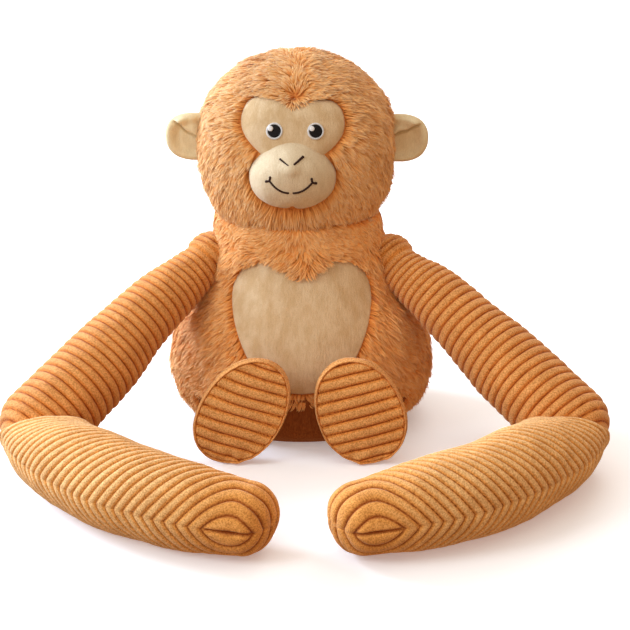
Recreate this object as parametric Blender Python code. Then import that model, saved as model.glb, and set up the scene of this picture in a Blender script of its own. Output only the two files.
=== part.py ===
"""Seated stuffed monkey with a fur body and head, corduroy arms and feet, and a heart-shaped belly patch.

The front of the toy faces -Y and its head is up, along +Z. The floor is at z = 0 and the middle of the
seat is the world origin. Lengths are in metres. Each limb hangs on empties that stand on its joint axes.
"""

import math

import bmesh
import bpy
import numpy as np
from mathutils import Matrix, Vector

GAP = 0.0003  # between neighbouring pieces
FUR_CLOTH = 0.0025  # backing cloth and the dense root of the pile
CORD_CLOTH = 0.0016  # wide-wale corduroy
PATCH_CLOTH = 0.0022

# Head, measured from its centre
HEAD_CENTRE = Vector((-0.0040, -0.0040, 0.2182))
HEAD_YAW = math.radians(2.0)  # the face looks slightly to one side
HEAD_HALF = (0.0745, 0.0680, 0.0695)
HEAD_SIDE_POWER = 2.15
HEAD_CROWN_POWER = 2.1
HEAD_JAW_POWER = 2.75
NECK_SEAT_RADIUS = 0.0700  # the underside of the head is part of a sphere
NECK_PAD = (0.0706, 0.0735, math.radians(23))  # inner radius, outer radius, half angle
NECK_CUP_RADIUS = 0.0742
MUZZLE_CENTRE = (-0.0005, -0.0540, -0.0105)
MUZZLE_HALF = (0.0322, 0.0310, 0.0268)
MUZZLE_TAPER = 0.10  # it is narrower towards the nose
EYES_MIDDLE = 0.0018
EYE_OFFSET = (0.0150, 0.0222)
EYE_RADIUS = 0.0045
EYE_RING = (0.0047, 0.0062)
GLINT_RADIUS = 0.0015
EAR_CENTRE = (0.0785, 0.0030, 0.0030)
EAR_HALF = (0.0215, 0.0068, 0.0190)

# Torso: height, half width, depth in front of and behind x = 0
TORSO = (
    (0.000, 0.0720, 0.0730, 0.0600),
    (0.004, 0.0800, 0.0775, 0.0670),
    (0.012, 0.0895, 0.0815, 0.0730),
    (0.025, 0.0965, 0.0835, 0.0770),
    (0.042, 0.1000, 0.0840, 0.0785),
    (0.060, 0.0975, 0.0828, 0.0770),
    (0.080, 0.0900, 0.0785, 0.0730),
    (0.100, 0.0760, 0.0720, 0.0660),
    (0.120, 0.0675, 0.0645, 0.0585),
    (0.140, 0.0640, 0.0590, 0.0545),
    (0.158, 0.0625, 0.0570, 0.0530),
    (0.172, 0.0600, 0.0550, 0.0520),
)
TORSO_POWER = 2.1
SIDE_SEAM_Y = -0.030
SEAT_PLANE = (Vector((0, -0.084, 0.0360)), Vector((0, 0.19, 1)))  # fur above, seat cloth below
SEAT_SEAM_X = -0.0020  # the seam between the two seat panels
POUCH = (0.050, 0.0045, 0.0240)  # bean pouch: radius, lowest and highest

# Arms, for the side at +X
SHOULDER = Vector((0.0690, -0.0130, 0.1335))
SHOULDER_BALL = 0.0200
SHOULDER_PAD = (0.0203, 0.0222, math.radians(30))
SHOULDER_SOCKET = 0.0230
SHOULDER_PAD_AXIS = Vector((-0.90, 0.20, 0.36))
ELBOW = Vector((0.1925, -0.1240, 0.0345))
ELBOW_CLOSE = math.radians(5)  # how far the elbow can fold beyond its rest angle
UPPER_ARM = (
    (0.0108, 0.0168),
    (0.0180, 0.0176),
    (0.0300, 0.0197),
    (0.0500, 0.0226),
    (0.0800, 0.0256),
    (0.1100, 0.0276),
    (0.1400, 0.0290),
    (0.1700, 0.0298),
    (0.1930, 0.0298),
)
FOREARM_PATH = (
    Vector((0.1925, -0.1240, 0.0345)),
    Vector((0.1780, -0.1950, 0.0321)),
    Vector((0.1160, -0.2630, 0.0341)),
    Vector((0.0385, -0.2760, 0.0265)),
)
FOREARM = (  # along the path from 0 to 1: radius sideways, radius upwards
    (0.00, 0.0305, 0.0305),
    (0.12, 0.0315, 0.0309),
    (0.25, 0.0325, 0.0311),
    (0.40, 0.0330, 0.0313),
    (0.55, 0.0330, 0.0313),
    (0.70, 0.0325, 0.0307),
    (0.85, 0.0315, 0.0291),
    (1.00, 0.0290, 0.0257),
)
HAND_CAP = 0.0210  # how far the rounded hand reaches past the path
HAND_TURN = math.radians(20)  # how far the end of the hand turns in

# Legs, for the side at +X
HIP = Vector((0.0432, -0.0755, 0.0358))
HIP_BALL = 0.0160
HIP_PAD = (0.0163, 0.0182, math.radians(32))
HIP_SOCKET = 0.0190
FOOT_LEAN = {-1: math.radians(15), 1: math.radians(11)}  # the toes lean towards each other
TOE_SHIFT = {-1: 0.19, 1: 0.09}  # and curve in, per height above the middle of the foot
FOOT_RISE = 0.0056  # the middle of the sole is above the hip
FOOT = (  # distance forward of the hip, half width, half height, share of FOOT_RISE
    (0.0092, 0.0131, 0.0131, 0.0),
    (0.0120, 0.0140, 0.0140, 0.1),
    (0.0165, 0.0205, 0.0225, 0.5),
    (0.0215, 0.0272, 0.0335, 0.8),
    (0.0275, 0.0316, 0.0395, 1.0),
    (0.0350, 0.0332, 0.0413, 1.0),
    (0.0412, 0.0332, 0.0414, 1.0),
)
SOLE = (
    (0.0415, 0.0329, 0.0411, 1.0),
    (0.0435, 0.0329, 0.0411, 1.0),
    (0.0445, 0.0319, 0.0402, 1.0),
    (0.0449, 0.0297, 0.0380, 1.0),
)

HEART = (  # right half of the belly patch: x and height
    (0.0000, 0.1275),
    (0.0050, 0.1300),
    (0.0160, 0.1365),
    (0.0290, 0.1378),
    (0.0410, 0.1320),
    (0.0490, 0.1205),
    (0.0515, 0.1080),
    (0.0500, 0.0940),
    (0.0455, 0.0800),
    (0.0385, 0.0660),
    (0.0280, 0.0530),
    (0.0140, 0.0450),
    (0.0000, 0.0430),
)
MASK = (  # right half of the eye mask, from the head's centre
    (0.0000, 0.0366),
    (0.0060, 0.0390),
    (0.0125, 0.0412),
    (0.0190, 0.0422),
    (0.0270, 0.0408),
    (0.0330, 0.0355),
    (0.0357, 0.0275),
    (0.0350, 0.0200),
    (0.0322, 0.0148),
    (0.0288, 0.0108),
    (0.0245, 0.0070),
    (0.0150, 0.0000),
    (0.0000, -0.0060),
)


def clear_scene():
    for obj in list(bpy.data.objects):
        bpy.data.objects.remove(obj, do_unlink=True)


def new_collection(name, is_helper):
    made = bpy.data.collections.new(name)
    bpy.context.scene.collection.children.link(made)
    made.hide_render = is_helper
    return made


def material(name, colour, roughness):
    made = bpy.data.materials.new(name)
    made.use_nodes = True
    made.diffuse_color = (*colour, 1)
    shader = made.node_tree.nodes["Principled BSDF"]
    shader.inputs["Base Color"].default_value = (*colour, 1)
    shader.inputs["Roughness"].default_value = roughness
    shader.inputs["Metallic"].default_value = 0.0
    return made


clear_scene()
MONKEY = new_collection("stuffed_monkey", False)
CUTTERS = new_collection("cutters", True)
FUR = material("caramel_fur", (0.60, 0.26, 0.085), 0.95)
PLUSH = material("beige_plush", (0.68, 0.50, 0.28), 0.92)
MUZZLE_PLUSH = material("cream_plush", (0.74, 0.60, 0.40), 0.92)
CORDUROY = material("tan_corduroy", (0.66, 0.35, 0.13), 0.93)
SEAT_CLOTH = material("brown_seat_cloth", (0.34, 0.13, 0.035), 0.90)
BLACK_THREAD = material("black_thread", (0.010, 0.009, 0.009), 0.45)
BROWN_THREAD = material("brown_thread", (0.055, 0.022, 0.012), 0.60)
WHITE_THREAD = material("white_thread", (0.82, 0.82, 0.80), 0.50)
FILLING = material("polyester_filling", (0.88, 0.88, 0.86), 1.0)
POUCH_CLOTH = material("pouch_cotton", (0.70, 0.66, 0.56), 0.95)


def empty(name, location, parent=None, yaw=0.0):
    made = bpy.data.objects.new(name, None)
    made.empty_display_size = 0.02
    made.location = location
    made.rotation_euler = (0, 0, yaw)
    made.parent = parent
    MONKEY.objects.link(made)
    return made


def mesh_object(name, bm, paint, parent, location=(0, 0, 0)):
    """A mesh object from a bmesh; with paint None it is a cutter."""
    bmesh.ops.recalc_face_normals(bm, faces=bm.faces)
    mesh = bpy.data.meshes.new(name)
    bm.to_mesh(mesh)
    bm.free()
    made = bpy.data.objects.new(name, mesh)
    made.location = location
    made.parent = parent
    if paint is None:
        CUTTERS.objects.link(made)
        made.hide_render = True
        made.display_type = "WIRE"
    else:
        MONKEY.objects.link(made)
        mesh.materials.append(paint)
        mesh.polygons.foreach_set("use_smooth", [True] * len(mesh.polygons))
    return made


def loft(name, rings, paint, parent, location=(0, 0, 0), is_loop=False):
    """A skin over rings of points; its ends are capped, or joined to each other in a loop."""
    bm = bmesh.new()
    made = [[bm.verts.new(point) for point in ring] for ring in rings]
    pairs = list(zip(made, made[1:]))
    if is_loop:
        pairs.append((made[-1], made[0]))
    else:
        bm.faces.new(made[0])
        bm.faces.new(made[-1])
    for one, other in pairs:
        for i in range(len(one)):
            j = (i + 1) % len(one)
            bm.faces.new((one[i], one[j], other[j], other[i]))
    return mesh_object(name, bm, paint, parent, location)


def ball(name, shape, paint, parent, location=(0, 0, 0), segments=26, rings=16):
    """A UV sphere with each vertex moved to where shape(direction) puts it."""
    bm = bmesh.new()
    bmesh.ops.create_uvsphere(bm, u_segments=segments, v_segments=rings, radius=1)
    for vert in bm.verts:
        vert.co = shape(vert.co.normalized())
    return mesh_object(name, bm, paint, parent, location)


def ellipsoid(half, grow=0.0):
    return lambda d: Vector(d[i] * (half[i] + grow) for i in range(3))


def muzzle_shape(grow=0.0):
    half = [h + grow for h in MUZZLE_HALF]
    return lambda d: Vector((d.x * half[0] * (1 - MUZZLE_TAPER * d.z), d.y * half[1], d.z * half[2]))


def half_space(name, point, normal, parent=None):
    """A large box that fills the side of a plane that its normal points to."""
    normal = Vector(normal).normalized()
    turn = normal.to_track_quat("Z", "Y").to_matrix().to_4x4()
    bm = bmesh.new()
    bmesh.ops.create_cube(bm, size=0.5, matrix=Matrix.Translation(Vector(point) + normal * 0.25) @ turn)
    return mesh_object(name, bm, None, parent)


def prism(name, outline, near, far, parent=None):
    """An outline in x and z, extruded along y from near to far."""
    rings = [[(x, y, z) for x, z in outline] for y in (near, far)]
    return loft(name, rings, None, parent)


def cut(obj, *cutters, keep=False):
    for cutter in cutters:
        modifier = obj.modifiers.new(cutter.name, "BOOLEAN")
        modifier.operation = "INTERSECT" if keep else "DIFFERENCE"
        modifier.object = cutter
        modifier.solver = "EXACT"


def smooth_outline(points, grow=0.0, steps=3):
    """A closed outline through the right half's points and their mirror, with a corner kept at the notch."""
    half = [Vector(p) for p in points]
    curve = []
    for i in range(len(half) - 1):
        before = half[max(i - 1, 0)] if i else half[0]
        after = half[i + 2] if i + 2 < len(half) else Vector((-half[i].x, half[i].y))
        for step in range(steps):
            t = step / steps
            a, b, c, d = before, half[i], half[i + 1], after
            bend = (2 * a - 5 * b + 4 * c - d) * t**2 + (3 * b - a - 3 * c + d) * t**3
            curve.append(0.5 * (2 * b + (c - a) * t + bend))
    curve.append(half[-1])
    left = [Vector((-p.x, p.y)) for p in reversed(curve[1:-1])]
    loop = curve + left
    if grow:
        moved = []
        for i, p in enumerate(loop):
            along = (loop[(i + 1) % len(loop)] - loop[i - 1]).normalized()
            moved.append(p + grow * Vector((-along.y, along.x)))
        loop = moved
    return [(p.x, p.y) for p in loop]


def superellipse(angle, half_x, half_y, power):
    c, s = math.cos(angle), math.sin(angle)
    reach = (abs(c) ** power + abs(s) ** power) ** (-1 / power)
    return half_x * c * reach, half_y * s * reach


def smoothstep(low, high, value):
    t = min(max((value - low) / (high - low), 0.0), 1.0)
    return t * t * (3 - 2 * t)


# ---------------------------------------------------------------- head


def head_radius(direction):
    """How far the fur cloth is from the head's centre in a unit direction."""
    x, y, z = (abs(direction[i]) / HEAD_HALF[i] for i in range(3))
    power = HEAD_CROWN_POWER + (HEAD_JAW_POWER - HEAD_CROWN_POWER) * smoothstep(0.2, -0.5, direction[2])
    level = (x**HEAD_SIDE_POWER + y**HEAD_SIDE_POWER) ** (1 / HEAD_SIDE_POWER)
    radius = (level**power + z**power) ** (-1 / power)
    seat = smoothstep(math.cos(math.radians(50)), math.cos(math.radians(37)), -direction[2])
    return radius * (1 - seat) + NECK_SEAT_RADIUS * seat


def head_shape(inset):
    return lambda d: d * (head_radius(d) - inset)


def cap_rings(inner, outer, half_angle, axis, steps=4, count=16):
    """Rings for a spherical lens between two radii about the origin, centred on an axis."""
    axis = axis.normalized()
    side = axis.orthogonal().normalized()
    up = axis.cross(side)
    angles = [half_angle * (i + 0.25) / (steps + 0.25) for i in range(steps + 1)]
    rings = []
    for radius, polar in [(outer, a) for a in angles] + [(inner, a) for a in reversed(angles)]:
        turns = [2 * math.pi * k / count for k in range(count)]
        rings.append(
            [
                radius * (axis * math.cos(polar) + math.sin(polar) * (side * math.cos(t) + up * math.sin(t)))
                for t in turns
            ]
        )
    return rings


def neck_cup_rings(count=24):
    """The hollow that the head sweeps as it turns and nods: rings about Z, from the head's centre."""
    rings = []
    for degrees in (5, 17, 29, 38, 46, 54, 63, 75, 90):
        reach = NECK_CUP_RADIUS
        for tilt in range(-12, 13, 3):
            for turn in range(0, 181, 15):
                polar = math.radians(degrees + tilt)
                side, around = math.sin(polar), math.radians(turn)
                direction = Vector((side * math.cos(around), side * math.sin(around), -math.cos(polar)))
                reach = max(reach, head_radius(direction) + 2 * GAP)
        polar = math.radians(degrees)
        rings.append(
            [
                (
                    reach * math.sin(polar) * math.cos(2 * math.pi * k / count),
                    reach * math.sin(polar) * math.sin(2 * math.pi * k / count),
                    -reach * math.cos(polar),
                )
                for k in range(count)
            ]
        )
    return rings


def on_face(x, z, lift):
    """A point above the face cloth at x and z from the head's centre, and the cloth's normal there."""
    spot = Vector((x, -face_depth(x, z), z))
    step = 1e-4
    slope_x = (face_depth(x + step, z) - face_depth(x - step, z)) / (2 * step)
    slope_z = (face_depth(x, z + step) - face_depth(x, z - step)) / (2 * step)
    normal = Vector((-slope_x, -1, -slope_z)).normalized()
    return spot + normal * lift, normal


def face_depth(x, z):
    """How far the face cloth is in front of the head's centre at x and z."""
    low, high = 0.02, 0.09
    for _ in range(40):
        y = (low + high) / 2
        spot = Vector((x, -y, z))
        if spot.length < head_radius(spot.normalized()):
            low = y
        else:
            high = y
    return low


def on_muzzle(x, z, lift):
    """A point above the muzzle cloth at x and z from the head's centre."""
    half = [h + lift for h in MUZZLE_HALF]
    height = (z - MUZZLE_CENTRE[2]) / half[2]
    across = (x - MUZZLE_CENTRE[0]) / (half[0] * (1 - MUZZLE_TAPER * height))
    return Vector((x, MUZZLE_CENTRE[1] - half[1] * math.sqrt(1 - across**2 - height**2), z))


def thread(name, points, radii, paint, parent):
    """A stitch: a round cord through points, thinner towards its ends."""
    curve = bpy.data.curves.new(name, "CURVE")
    curve.dimensions = "3D"
    curve.bevel_depth = 1.0
    curve.bevel_resolution = 2
    curve.use_fill_caps = True
    spline = curve.splines.new("POLY")
    spline.points.add(len(points) - 1)
    for target, point, radius in zip(spline.points, points, radii):
        target.co = (*point, 1)
        target.radius = radius
    curve.materials.append(paint)
    made = bpy.data.objects.new(name, curve)
    made.parent = parent
    MONKEY.objects.link(made)
    return made


def round_rings(profile, count=24):
    """Level round rings about Z, one for each radius and height in the profile."""
    turns = [2 * math.pi * k / count for k in range(count)]
    return [[(r * math.cos(t), r * math.sin(t), h) for t in turns] for r, h in profile]


def disc_rings(inner, outer, thickness, count=20):
    """Rings for a flat disc with softened edges, or for an annulus if inner isn't 0, thickening along +Z."""
    soft = thickness * 0.3
    profile = [(outer, 0.0), (outer, thickness - soft), (outer - soft, thickness)]
    if inner:
        profile += [(inner + soft, thickness), (inner, thickness - soft), (inner, 0.0)]
    return round_rings(profile, count)


def place_on(obj, spot, normal):
    obj.location = spot
    obj.rotation_euler = normal.to_track_quat("Z", "Y").to_euler()


def build_head(turn_axis):
    nod_axis = empty("head_nod_axis", (0, 0, 0), turn_axis)
    pad = cap_rings(*NECK_PAD, Vector((0, 0, -1)), count=24)
    loft("neck_stuffing", pad, FILLING, turn_axis)

    core = ball("head_inner_cutter", head_shape(FUR_CLOTH), None, nod_axis)
    core_clear = ball("head_core_clear", head_shape(FUR_CLOTH - GAP), None, nod_axis)
    outside = ball("head_outside_clear", head_shape(-GAP), None, nod_axis)
    mask_hole = prism("mask_hole", smooth_outline(MASK, GAP), -0.12, -0.02, nod_axis)
    mask_form = prism("mask_form", smooth_outline(MASK), -0.12, -0.02, nod_axis)
    muzzle_hole = ball("muzzle_hole", muzzle_shape(GAP), None, nod_axis, MUZZLE_CENTRE, 24, 14)
    muzzle_inner = ball("muzzle_inner", muzzle_shape(-PATCH_CLOTH), None, nod_axis, MUZZLE_CENTRE, 24, 14)

    for side, sign in (("left", -1), ("right", 1)):
        panel = ball(f"head_{side}_panel", head_shape(0), FUR, nod_axis)
        seam = half_space(f"head_seam_{side}", (sign * GAP / 2, 0, 0), (-sign, 0, 0), nod_axis)
        cut(panel, core, seam, mask_hole, muzzle_hole)
    mask = ball("face_patch", head_shape(0), PLUSH, nod_axis)
    cut(mask, core)
    cut(mask, mask_form, keep=True)
    cut(mask, muzzle_hole)
    ball("head_stuffing", head_shape(FUR_CLOTH + 1.5 * GAP), FILLING, nod_axis)

    cover = ball("muzzle_cover", muzzle_shape(), MUZZLE_PLUSH, nod_axis, MUZZLE_CENTRE, 24, 14)
    cut(cover, muzzle_inner, core_clear)
    filling = muzzle_shape(-PATCH_CLOTH - GAP)
    cut(ball("muzzle_stuffing", filling, FILLING, nod_axis, MUZZLE_CENTRE, 24, 14), core_clear)

    for side, sign in (("left", -1), ("right", 1)):
        spot, normal = on_face(EYES_MIDDLE + sign * EYE_OFFSET[0], EYE_OFFSET[1], 2 * GAP)
        pupil = loft(f"{side}_eye_pupil", disc_rings(0, EYE_RADIUS, 0.0011), BLACK_THREAD, nod_axis)
        ring = loft(f"{side}_eye_ring", disc_rings(*EYE_RING, 0.0009), WHITE_THREAD, nod_axis, is_loop=True)
        glint = loft(f"{side}_eye_glint", disc_rings(0, GLINT_RADIUS, 0.0004, 12), WHITE_THREAD, nod_axis)
        for piece in (pupil, ring):
            place_on(piece, spot, normal)
        place_on(glint, spot + normal * 0.0012 + Vector((-0.0026, 0, 0.0015)), normal)

        steps = np.linspace(0, 1, 7)
        nostril = [on_muzzle(sign * (0.0075 - 0.0060 * t), 0.0055 - 0.0046 * t, 0.0009) for t in steps]
        thread(f"{side}_nostril", nostril, 0.0005 - 0.0002 * steps, BROWN_THREAD, nod_axis)
        smile = []
        for t in np.linspace(0, 1, 13):
            smile.append(on_muzzle(sign * (0.0010 + 0.0150 * t), -0.0190 + 0.0082 * t**2.2, 0.0009))
        thread(f"{side}_smile", smile, [0.0005] * 13, BROWN_THREAD, nod_axis)

        centre = (sign * EAR_CENTRE[0], EAR_CENTRE[1], EAR_CENTRE[2])
        dish_half = (EAR_HALF[0] * 0.74, 0.0052, EAR_HALF[2] * 0.74)
        dish = ball(
            f"ear_dish_{side}",
            ellipsoid(dish_half),
            None,
            nod_axis,
            (centre[0] + sign * 0.001, centre[1] - 0.0070, centre[2]),
            20,
            10,
        )
        for layer, facing in (("front", -1), ("back", 1)):
            piece = ball(f"{side}_ear_{layer}", ellipsoid(EAR_HALF), PLUSH, nod_axis, centre, 24, 10)
            split = half_space(
                f"ear_split_{side}_{layer}", (0, centre[1] + facing * GAP / 2, 0), (0, -facing, 0), nod_axis
            )
            cut(piece, split, outside)
            if layer == "front":
                cut(piece, dish)
    return nod_axis


# ---------------------------------------------------------------- torso


def torso_rings(inset, count=28):
    rings = []
    for height, half_width, front, back in TORSO:
        ring = []
        for k in range(count):
            angle = 2 * math.pi * (k + 0.5) / count
            depth = front if math.sin(angle) < 0 else back
            ring.append((*superellipse(angle, half_width - inset, depth - inset, TORSO_POWER), height))
        rings.append(ring)
    return rings


def inner_torso_rings(inset, count=28):
    """The torso's rings moved in by the cloth's thickness, with the floor of the seat raised by as much."""
    rings = torso_rings(inset, count)
    return [[(x, y, z + inset * (1 - smoothstep(0.004, 0.03, z))) for x, y, z in ring] for ring in rings]


def build_torso(root, sockets):
    hollow = inner_torso_rings(FUR_CLOTH)
    hollow.append([(x, y, z + 0.02) for x, y, z in hollow[-1]])
    inner = loft("torso_inner_cutter", hollow, None, root)
    cup = loft("neck_cup", neck_cup_rings(), None, root, HEAD_CENTRE)
    heart_hole = prism("heart_hole", smooth_outline(HEART, GAP), -0.14, -0.02)
    heart_form = prism("heart_form", smooth_outline(HEART), -0.14, -0.02)
    seat_point, seat_normal = SEAT_PLANE
    seat_normal = seat_normal.normalized()
    below_seat = half_space("below_seat_seam", seat_point + seat_normal * GAP / 2, -seat_normal)
    above_seat = half_space("above_seat_seam", seat_point - seat_normal * GAP / 2, seat_normal)

    for side, sign in (("left", -1), ("right", 1)):
        middle = half_space(f"torso_seam_{side}", (sign * GAP / 2, 0, 0), (-sign, 0, 0))
        seat_middle = half_space(f"seat_seam_{side}", (SEAT_SEAM_X + sign * GAP / 2, 0, 0), (-sign, 0, 0))
        for layer, facing in (("front", -1), ("back", 1)):
            panel = loft(f"torso_{layer}_{side}_panel", torso_rings(0), FUR, root)
            seam_point = (0, SIDE_SEAM_Y + facing * GAP / 2, 0)
            seam = half_space(f"side_seam_{layer}_{side}", seam_point, (0, -facing, 0))
            cut(panel, inner, below_seat, cup, seam, middle, *sockets[side])
            if layer == "front":
                cut(panel, heart_hole)
        seat = loft(f"seat_{side}_panel", torso_rings(0), SEAT_CLOTH, root)
        cut(seat, inner, seat_middle, above_seat, *sockets[side])

    patch = loft("belly_patch", torso_rings(0), PLUSH, root)
    cut(patch, inner)
    cut(patch, heart_form, keep=True)
    cut(patch, *sockets["left"][-1:], *sockets["right"][-1:])

    radius, low, high = POUCH
    pouch_profile = (
        (0.90 * radius, low),
        (radius, low + 0.005),
        (radius, high - 0.006),
        (0.88 * radius, high - 0.001),
        (0.60 * radius, high),
    )
    loft("bean_pouch", round_rings(pouch_profile), POUCH_CLOTH, root)
    recess = round_rings(((radius + 2 * GAP, -0.01), (radius + 2 * GAP, high + 2 * GAP)))
    pouch_recess = loft("pouch_recess", recess, None, root)
    filling = loft("torso_stuffing", inner_torso_rings(FUR_CLOTH + 1.5 * GAP), FILLING, root)
    cut(filling, cup, pouch_recess, *sockets["left"], *sockets["right"])


# ---------------------------------------------------------------- limbs

def ring_about(centre, along, half_side, half_up, count):
    side = along.cross(Vector((0, 0, 1))).normalized()
    up = side.cross(along).normalized()
    turns = [2 * math.pi * k / count for k in range(count)]
    return [centre + side * half_side * math.cos(t) + up * half_up * math.sin(t) for t in turns]


def ball_end(radius, neck_radius, along, count, first=165):
    """Rings over the back of a ball at the origin, up to where it narrows to a neck."""
    last = math.degrees(math.asin(min(neck_radius / radius, 1.0)))
    return [
        ring_about(
            along * radius * math.cos(math.radians(a)),
            along,
            radius * math.sin(math.radians(a)),
            radius * math.sin(math.radians(a)),
            count,
        )
        for a in np.linspace(first, last + 5, 6)
    ]


def mirrored(point, sign):
    return Vector((sign * point.x, point.y, point.z))


def upper_arm_rings(sign, inset, overrun=0.0, count=16):
    along = (mirrored(ELBOW, sign) - mirrored(SHOULDER, sign)).normalized()
    rings = ball_end(SHOULDER_BALL - inset, UPPER_ARM[0][1] - inset, along, count)
    for distance, radius in UPPER_ARM:
        rings.append(ring_about(along * distance, along, radius - inset, radius - inset, count))
    if overrun:
        last = UPPER_ARM[-1]
        rings.append(ring_about(along * (last[0] + overrun), along, last[1] - inset, last[1] - inset, count))
    return rings


def forearm_path(sign, share):
    """The centre and direction of the forearm at a share of its length, measured from the elbow."""
    a, b, c, d = (mirrored(p, sign) for p in FOREARM_PATH)
    u = 1 - share
    spot = a * u**3 + 3 * b * u**2 * share + 3 * c * u * share**2 + d * share**3
    along = 3 * u**2 * (b - a) + 6 * u * share * (c - b) + 3 * share**2 * (d - c)
    return spot - a, along.normalized()


def forearm_rings(sign, inset, count=16, is_open=False):
    """Rings from the elbow ball to the rounded hand, from the elbow's centre."""
    _, start = forearm_path(sign, 0)
    if is_open:
        radius = FOREARM[0][1] - inset
        rings = [ring_about(-start * 0.04, start, radius, radius, count)]
    else:
        rings = ball_end(FOREARM[0][1] - inset, FOREARM[0][1] - inset, start, count)[:-1]
    for share, half_side, half_up in FOREARM:
        centre, along = forearm_path(sign, share)
        rings.append(ring_about(centre, along, half_side - inset, half_up - inset, count))
    centre, along = forearm_path(sign, 1)
    _, half_side, half_up = FOREARM[-1]
    for degrees in (22, 42, 60, 75, 85):
        angle = math.radians(degrees)
        ahead = Matrix.Rotation(HAND_TURN * sign * math.sin(angle), 3, "Z") @ along
        spot = centre + ahead * (HAND_CAP - inset) * math.sin(angle)
        shrink = math.cos(angle) ** 0.8
        side = (half_side - inset) * shrink
        up = (half_up - inset) * shrink
        rings.append(ring_about(spot, ahead, side, up, count))
    return rings


def build_arm(root, side, sign):
    shoulder = mirrored(SHOULDER, sign)
    sweep_axis = empty(f"{side}_shoulder_sweep_axis", shoulder, root)
    lift_axis = empty(f"{side}_shoulder_lift_axis", (0, 0, 0), sweep_axis)
    elbow_axis = empty(f"{side}_elbow_axis", mirrored(ELBOW, sign) - shoulder, lift_axis)
    pad = cap_rings(*SHOULDER_PAD, mirrored(SHOULDER_PAD_AXIS, sign), steps=3)
    loft(f"{side}_shoulder_pad", pad, FILLING, sweep_axis)

    inner = loft(f"upper_arm_inner_{side}", upper_arm_rings(sign, CORD_CLOTH, 0.01), None, lift_axis)
    clears = []
    for state, fold, grow in (("rest", 0.0, 2 * GAP), ("folded", ELBOW_CLOSE, 4 * GAP)):
        clear = loft(f"forearm_clear_{side}_{state}", forearm_rings(sign, -grow), None, elbow_axis)
        clear.rotation_euler = (0, 0, -sign * fold)
        clears.append(clear)
    sleeve = loft(f"{side}_upper_arm_sleeve", upper_arm_rings(sign, 0), CORDUROY, lift_axis)
    cut(sleeve, inner, *clears)
    filling = loft(f"{side}_upper_arm_stuffing", upper_arm_rings(sign, CORD_CLOTH + GAP), FILLING, lift_axis)
    cut(filling, *clears)

    inner = loft(f"forearm_inner_{side}", forearm_rings(sign, CORD_CLOTH, is_open=True), None, elbow_axis)
    sleeve = loft(f"{side}_forearm_sleeve", forearm_rings(sign, 0), CORDUROY, elbow_axis)
    cut(sleeve, inner)
    loft(f"{side}_forearm_stuffing", forearm_rings(sign, CORD_CLOTH + 2 * GAP), FILLING, elbow_axis)


def egg(angle, half_width, half_height):
    """An egg outline, narrower at the toes."""
    c, s = math.cos(angle), math.sin(angle)
    return half_width * s * (1 - 0.05 * c) * 1.004, half_height * c


def foot_rings(sections, sign, inset, count=18):
    """Rings across a foot that points along -Y, from the hip, with its toes turned in."""
    rings = []
    lean = Matrix.Rotation(-FOOT_LEAN[sign] * sign, 3, "Y")
    for distance, half_width, half_height, share in sections:
        roundness = min(share * 1.25, 1.0)
        ring = []
        for k in range(count):
            angle = 2 * math.pi * k / count
            x, z = egg(angle, half_width - inset, half_height - inset)
            circle = (half_width - inset) * math.sin(angle)
            point = lean @ Vector((x * roundness + circle * (1 - roundness), -distance, z))
            point.x -= sign * TOE_SHIFT[sign] * roundness * point.z
            ring.append(point)
        rings.append([p + Vector((0, 0, FOOT_RISE * share)) for p in ring])
    return rings


def leg_rings(sign, inset, overrun=0.0):
    back = ball_end(HIP_BALL - inset, FOOT[0][1] - inset, Vector((0, -1, 0)), 18)
    lean = Matrix.Rotation(-FOOT_LEAN[sign] * sign, 3, "Y")
    aligned = []
    for ring in back:
        radius = max(p.x for p in ring)
        turns = [2 * math.pi * k / 18 for k in range(18)]
        circle = [Vector((radius * math.sin(t), ring[0].y, radius * math.cos(t))) for t in turns]
        aligned.append([lean @ p for p in circle])
    rings = aligned + foot_rings(FOOT, sign, inset)
    if overrun:
        rings.append([p + Vector((0, -overrun, 0)) for p in rings[-1]])
    return rings


def build_leg(root, side, sign):
    splay_axis = empty(f"{side}_hip_splay_axis", mirrored(HIP, sign), root)
    swing_axis = empty(f"{side}_hip_swing_axis", (0, 0, 0), splay_axis)
    loft(f"{side}_hip_pad", cap_rings(*HIP_PAD, Vector((0, 1, 0)), steps=3), FILLING, splay_axis)
    inner = loft(f"leg_inner_{side}", leg_rings(sign, CORD_CLOTH, 0.01), None, swing_axis)
    cover = loft(f"{side}_foot_cover", leg_rings(sign, 0), CORDUROY, swing_axis)
    cut(cover, inner)
    loft(f"{side}_foot_stuffing", leg_rings(sign, CORD_CLOTH + GAP), FILLING, swing_axis)
    loft(f"{side}_sole", foot_rings(SOLE, sign, 0), CORDUROY, swing_axis)


def socket(name, centre, radius):
    return ball(name, lambda d: d * radius, None, None, centre, 20, 12)


def build_monkey():
    root = empty("torso_root", (0, 0, 0))
    sockets = {
        side: [
            socket(f"shoulder_socket_{side}", mirrored(SHOULDER, sign), SHOULDER_SOCKET),
            socket(f"hip_socket_{side}", mirrored(HIP, sign), HIP_SOCKET),
        ]
        for side, sign in (("left", -1), ("right", 1))
    }
    build_torso(root, sockets)
    build_head(empty("head_turn_axis", HEAD_CENTRE, root, -HEAD_YAW))
    for side, sign in (("left", -1), ("right", 1)):
        build_arm(root, side, sign)
        build_leg(root, side, sign)


build_monkey()
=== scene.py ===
"""Looks of a seated stuffed monkey: long fur, wide corduroy limbs, short-pile patches and a stitched face.

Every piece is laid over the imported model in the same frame: metres, +Z up, the toy's front towards -Y, the
floor at z = 0. Its left side lies at -X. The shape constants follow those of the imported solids.
"""

import math

import bpy
import numpy as np
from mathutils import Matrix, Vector
from mathutils.kdtree import KDTree


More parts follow.
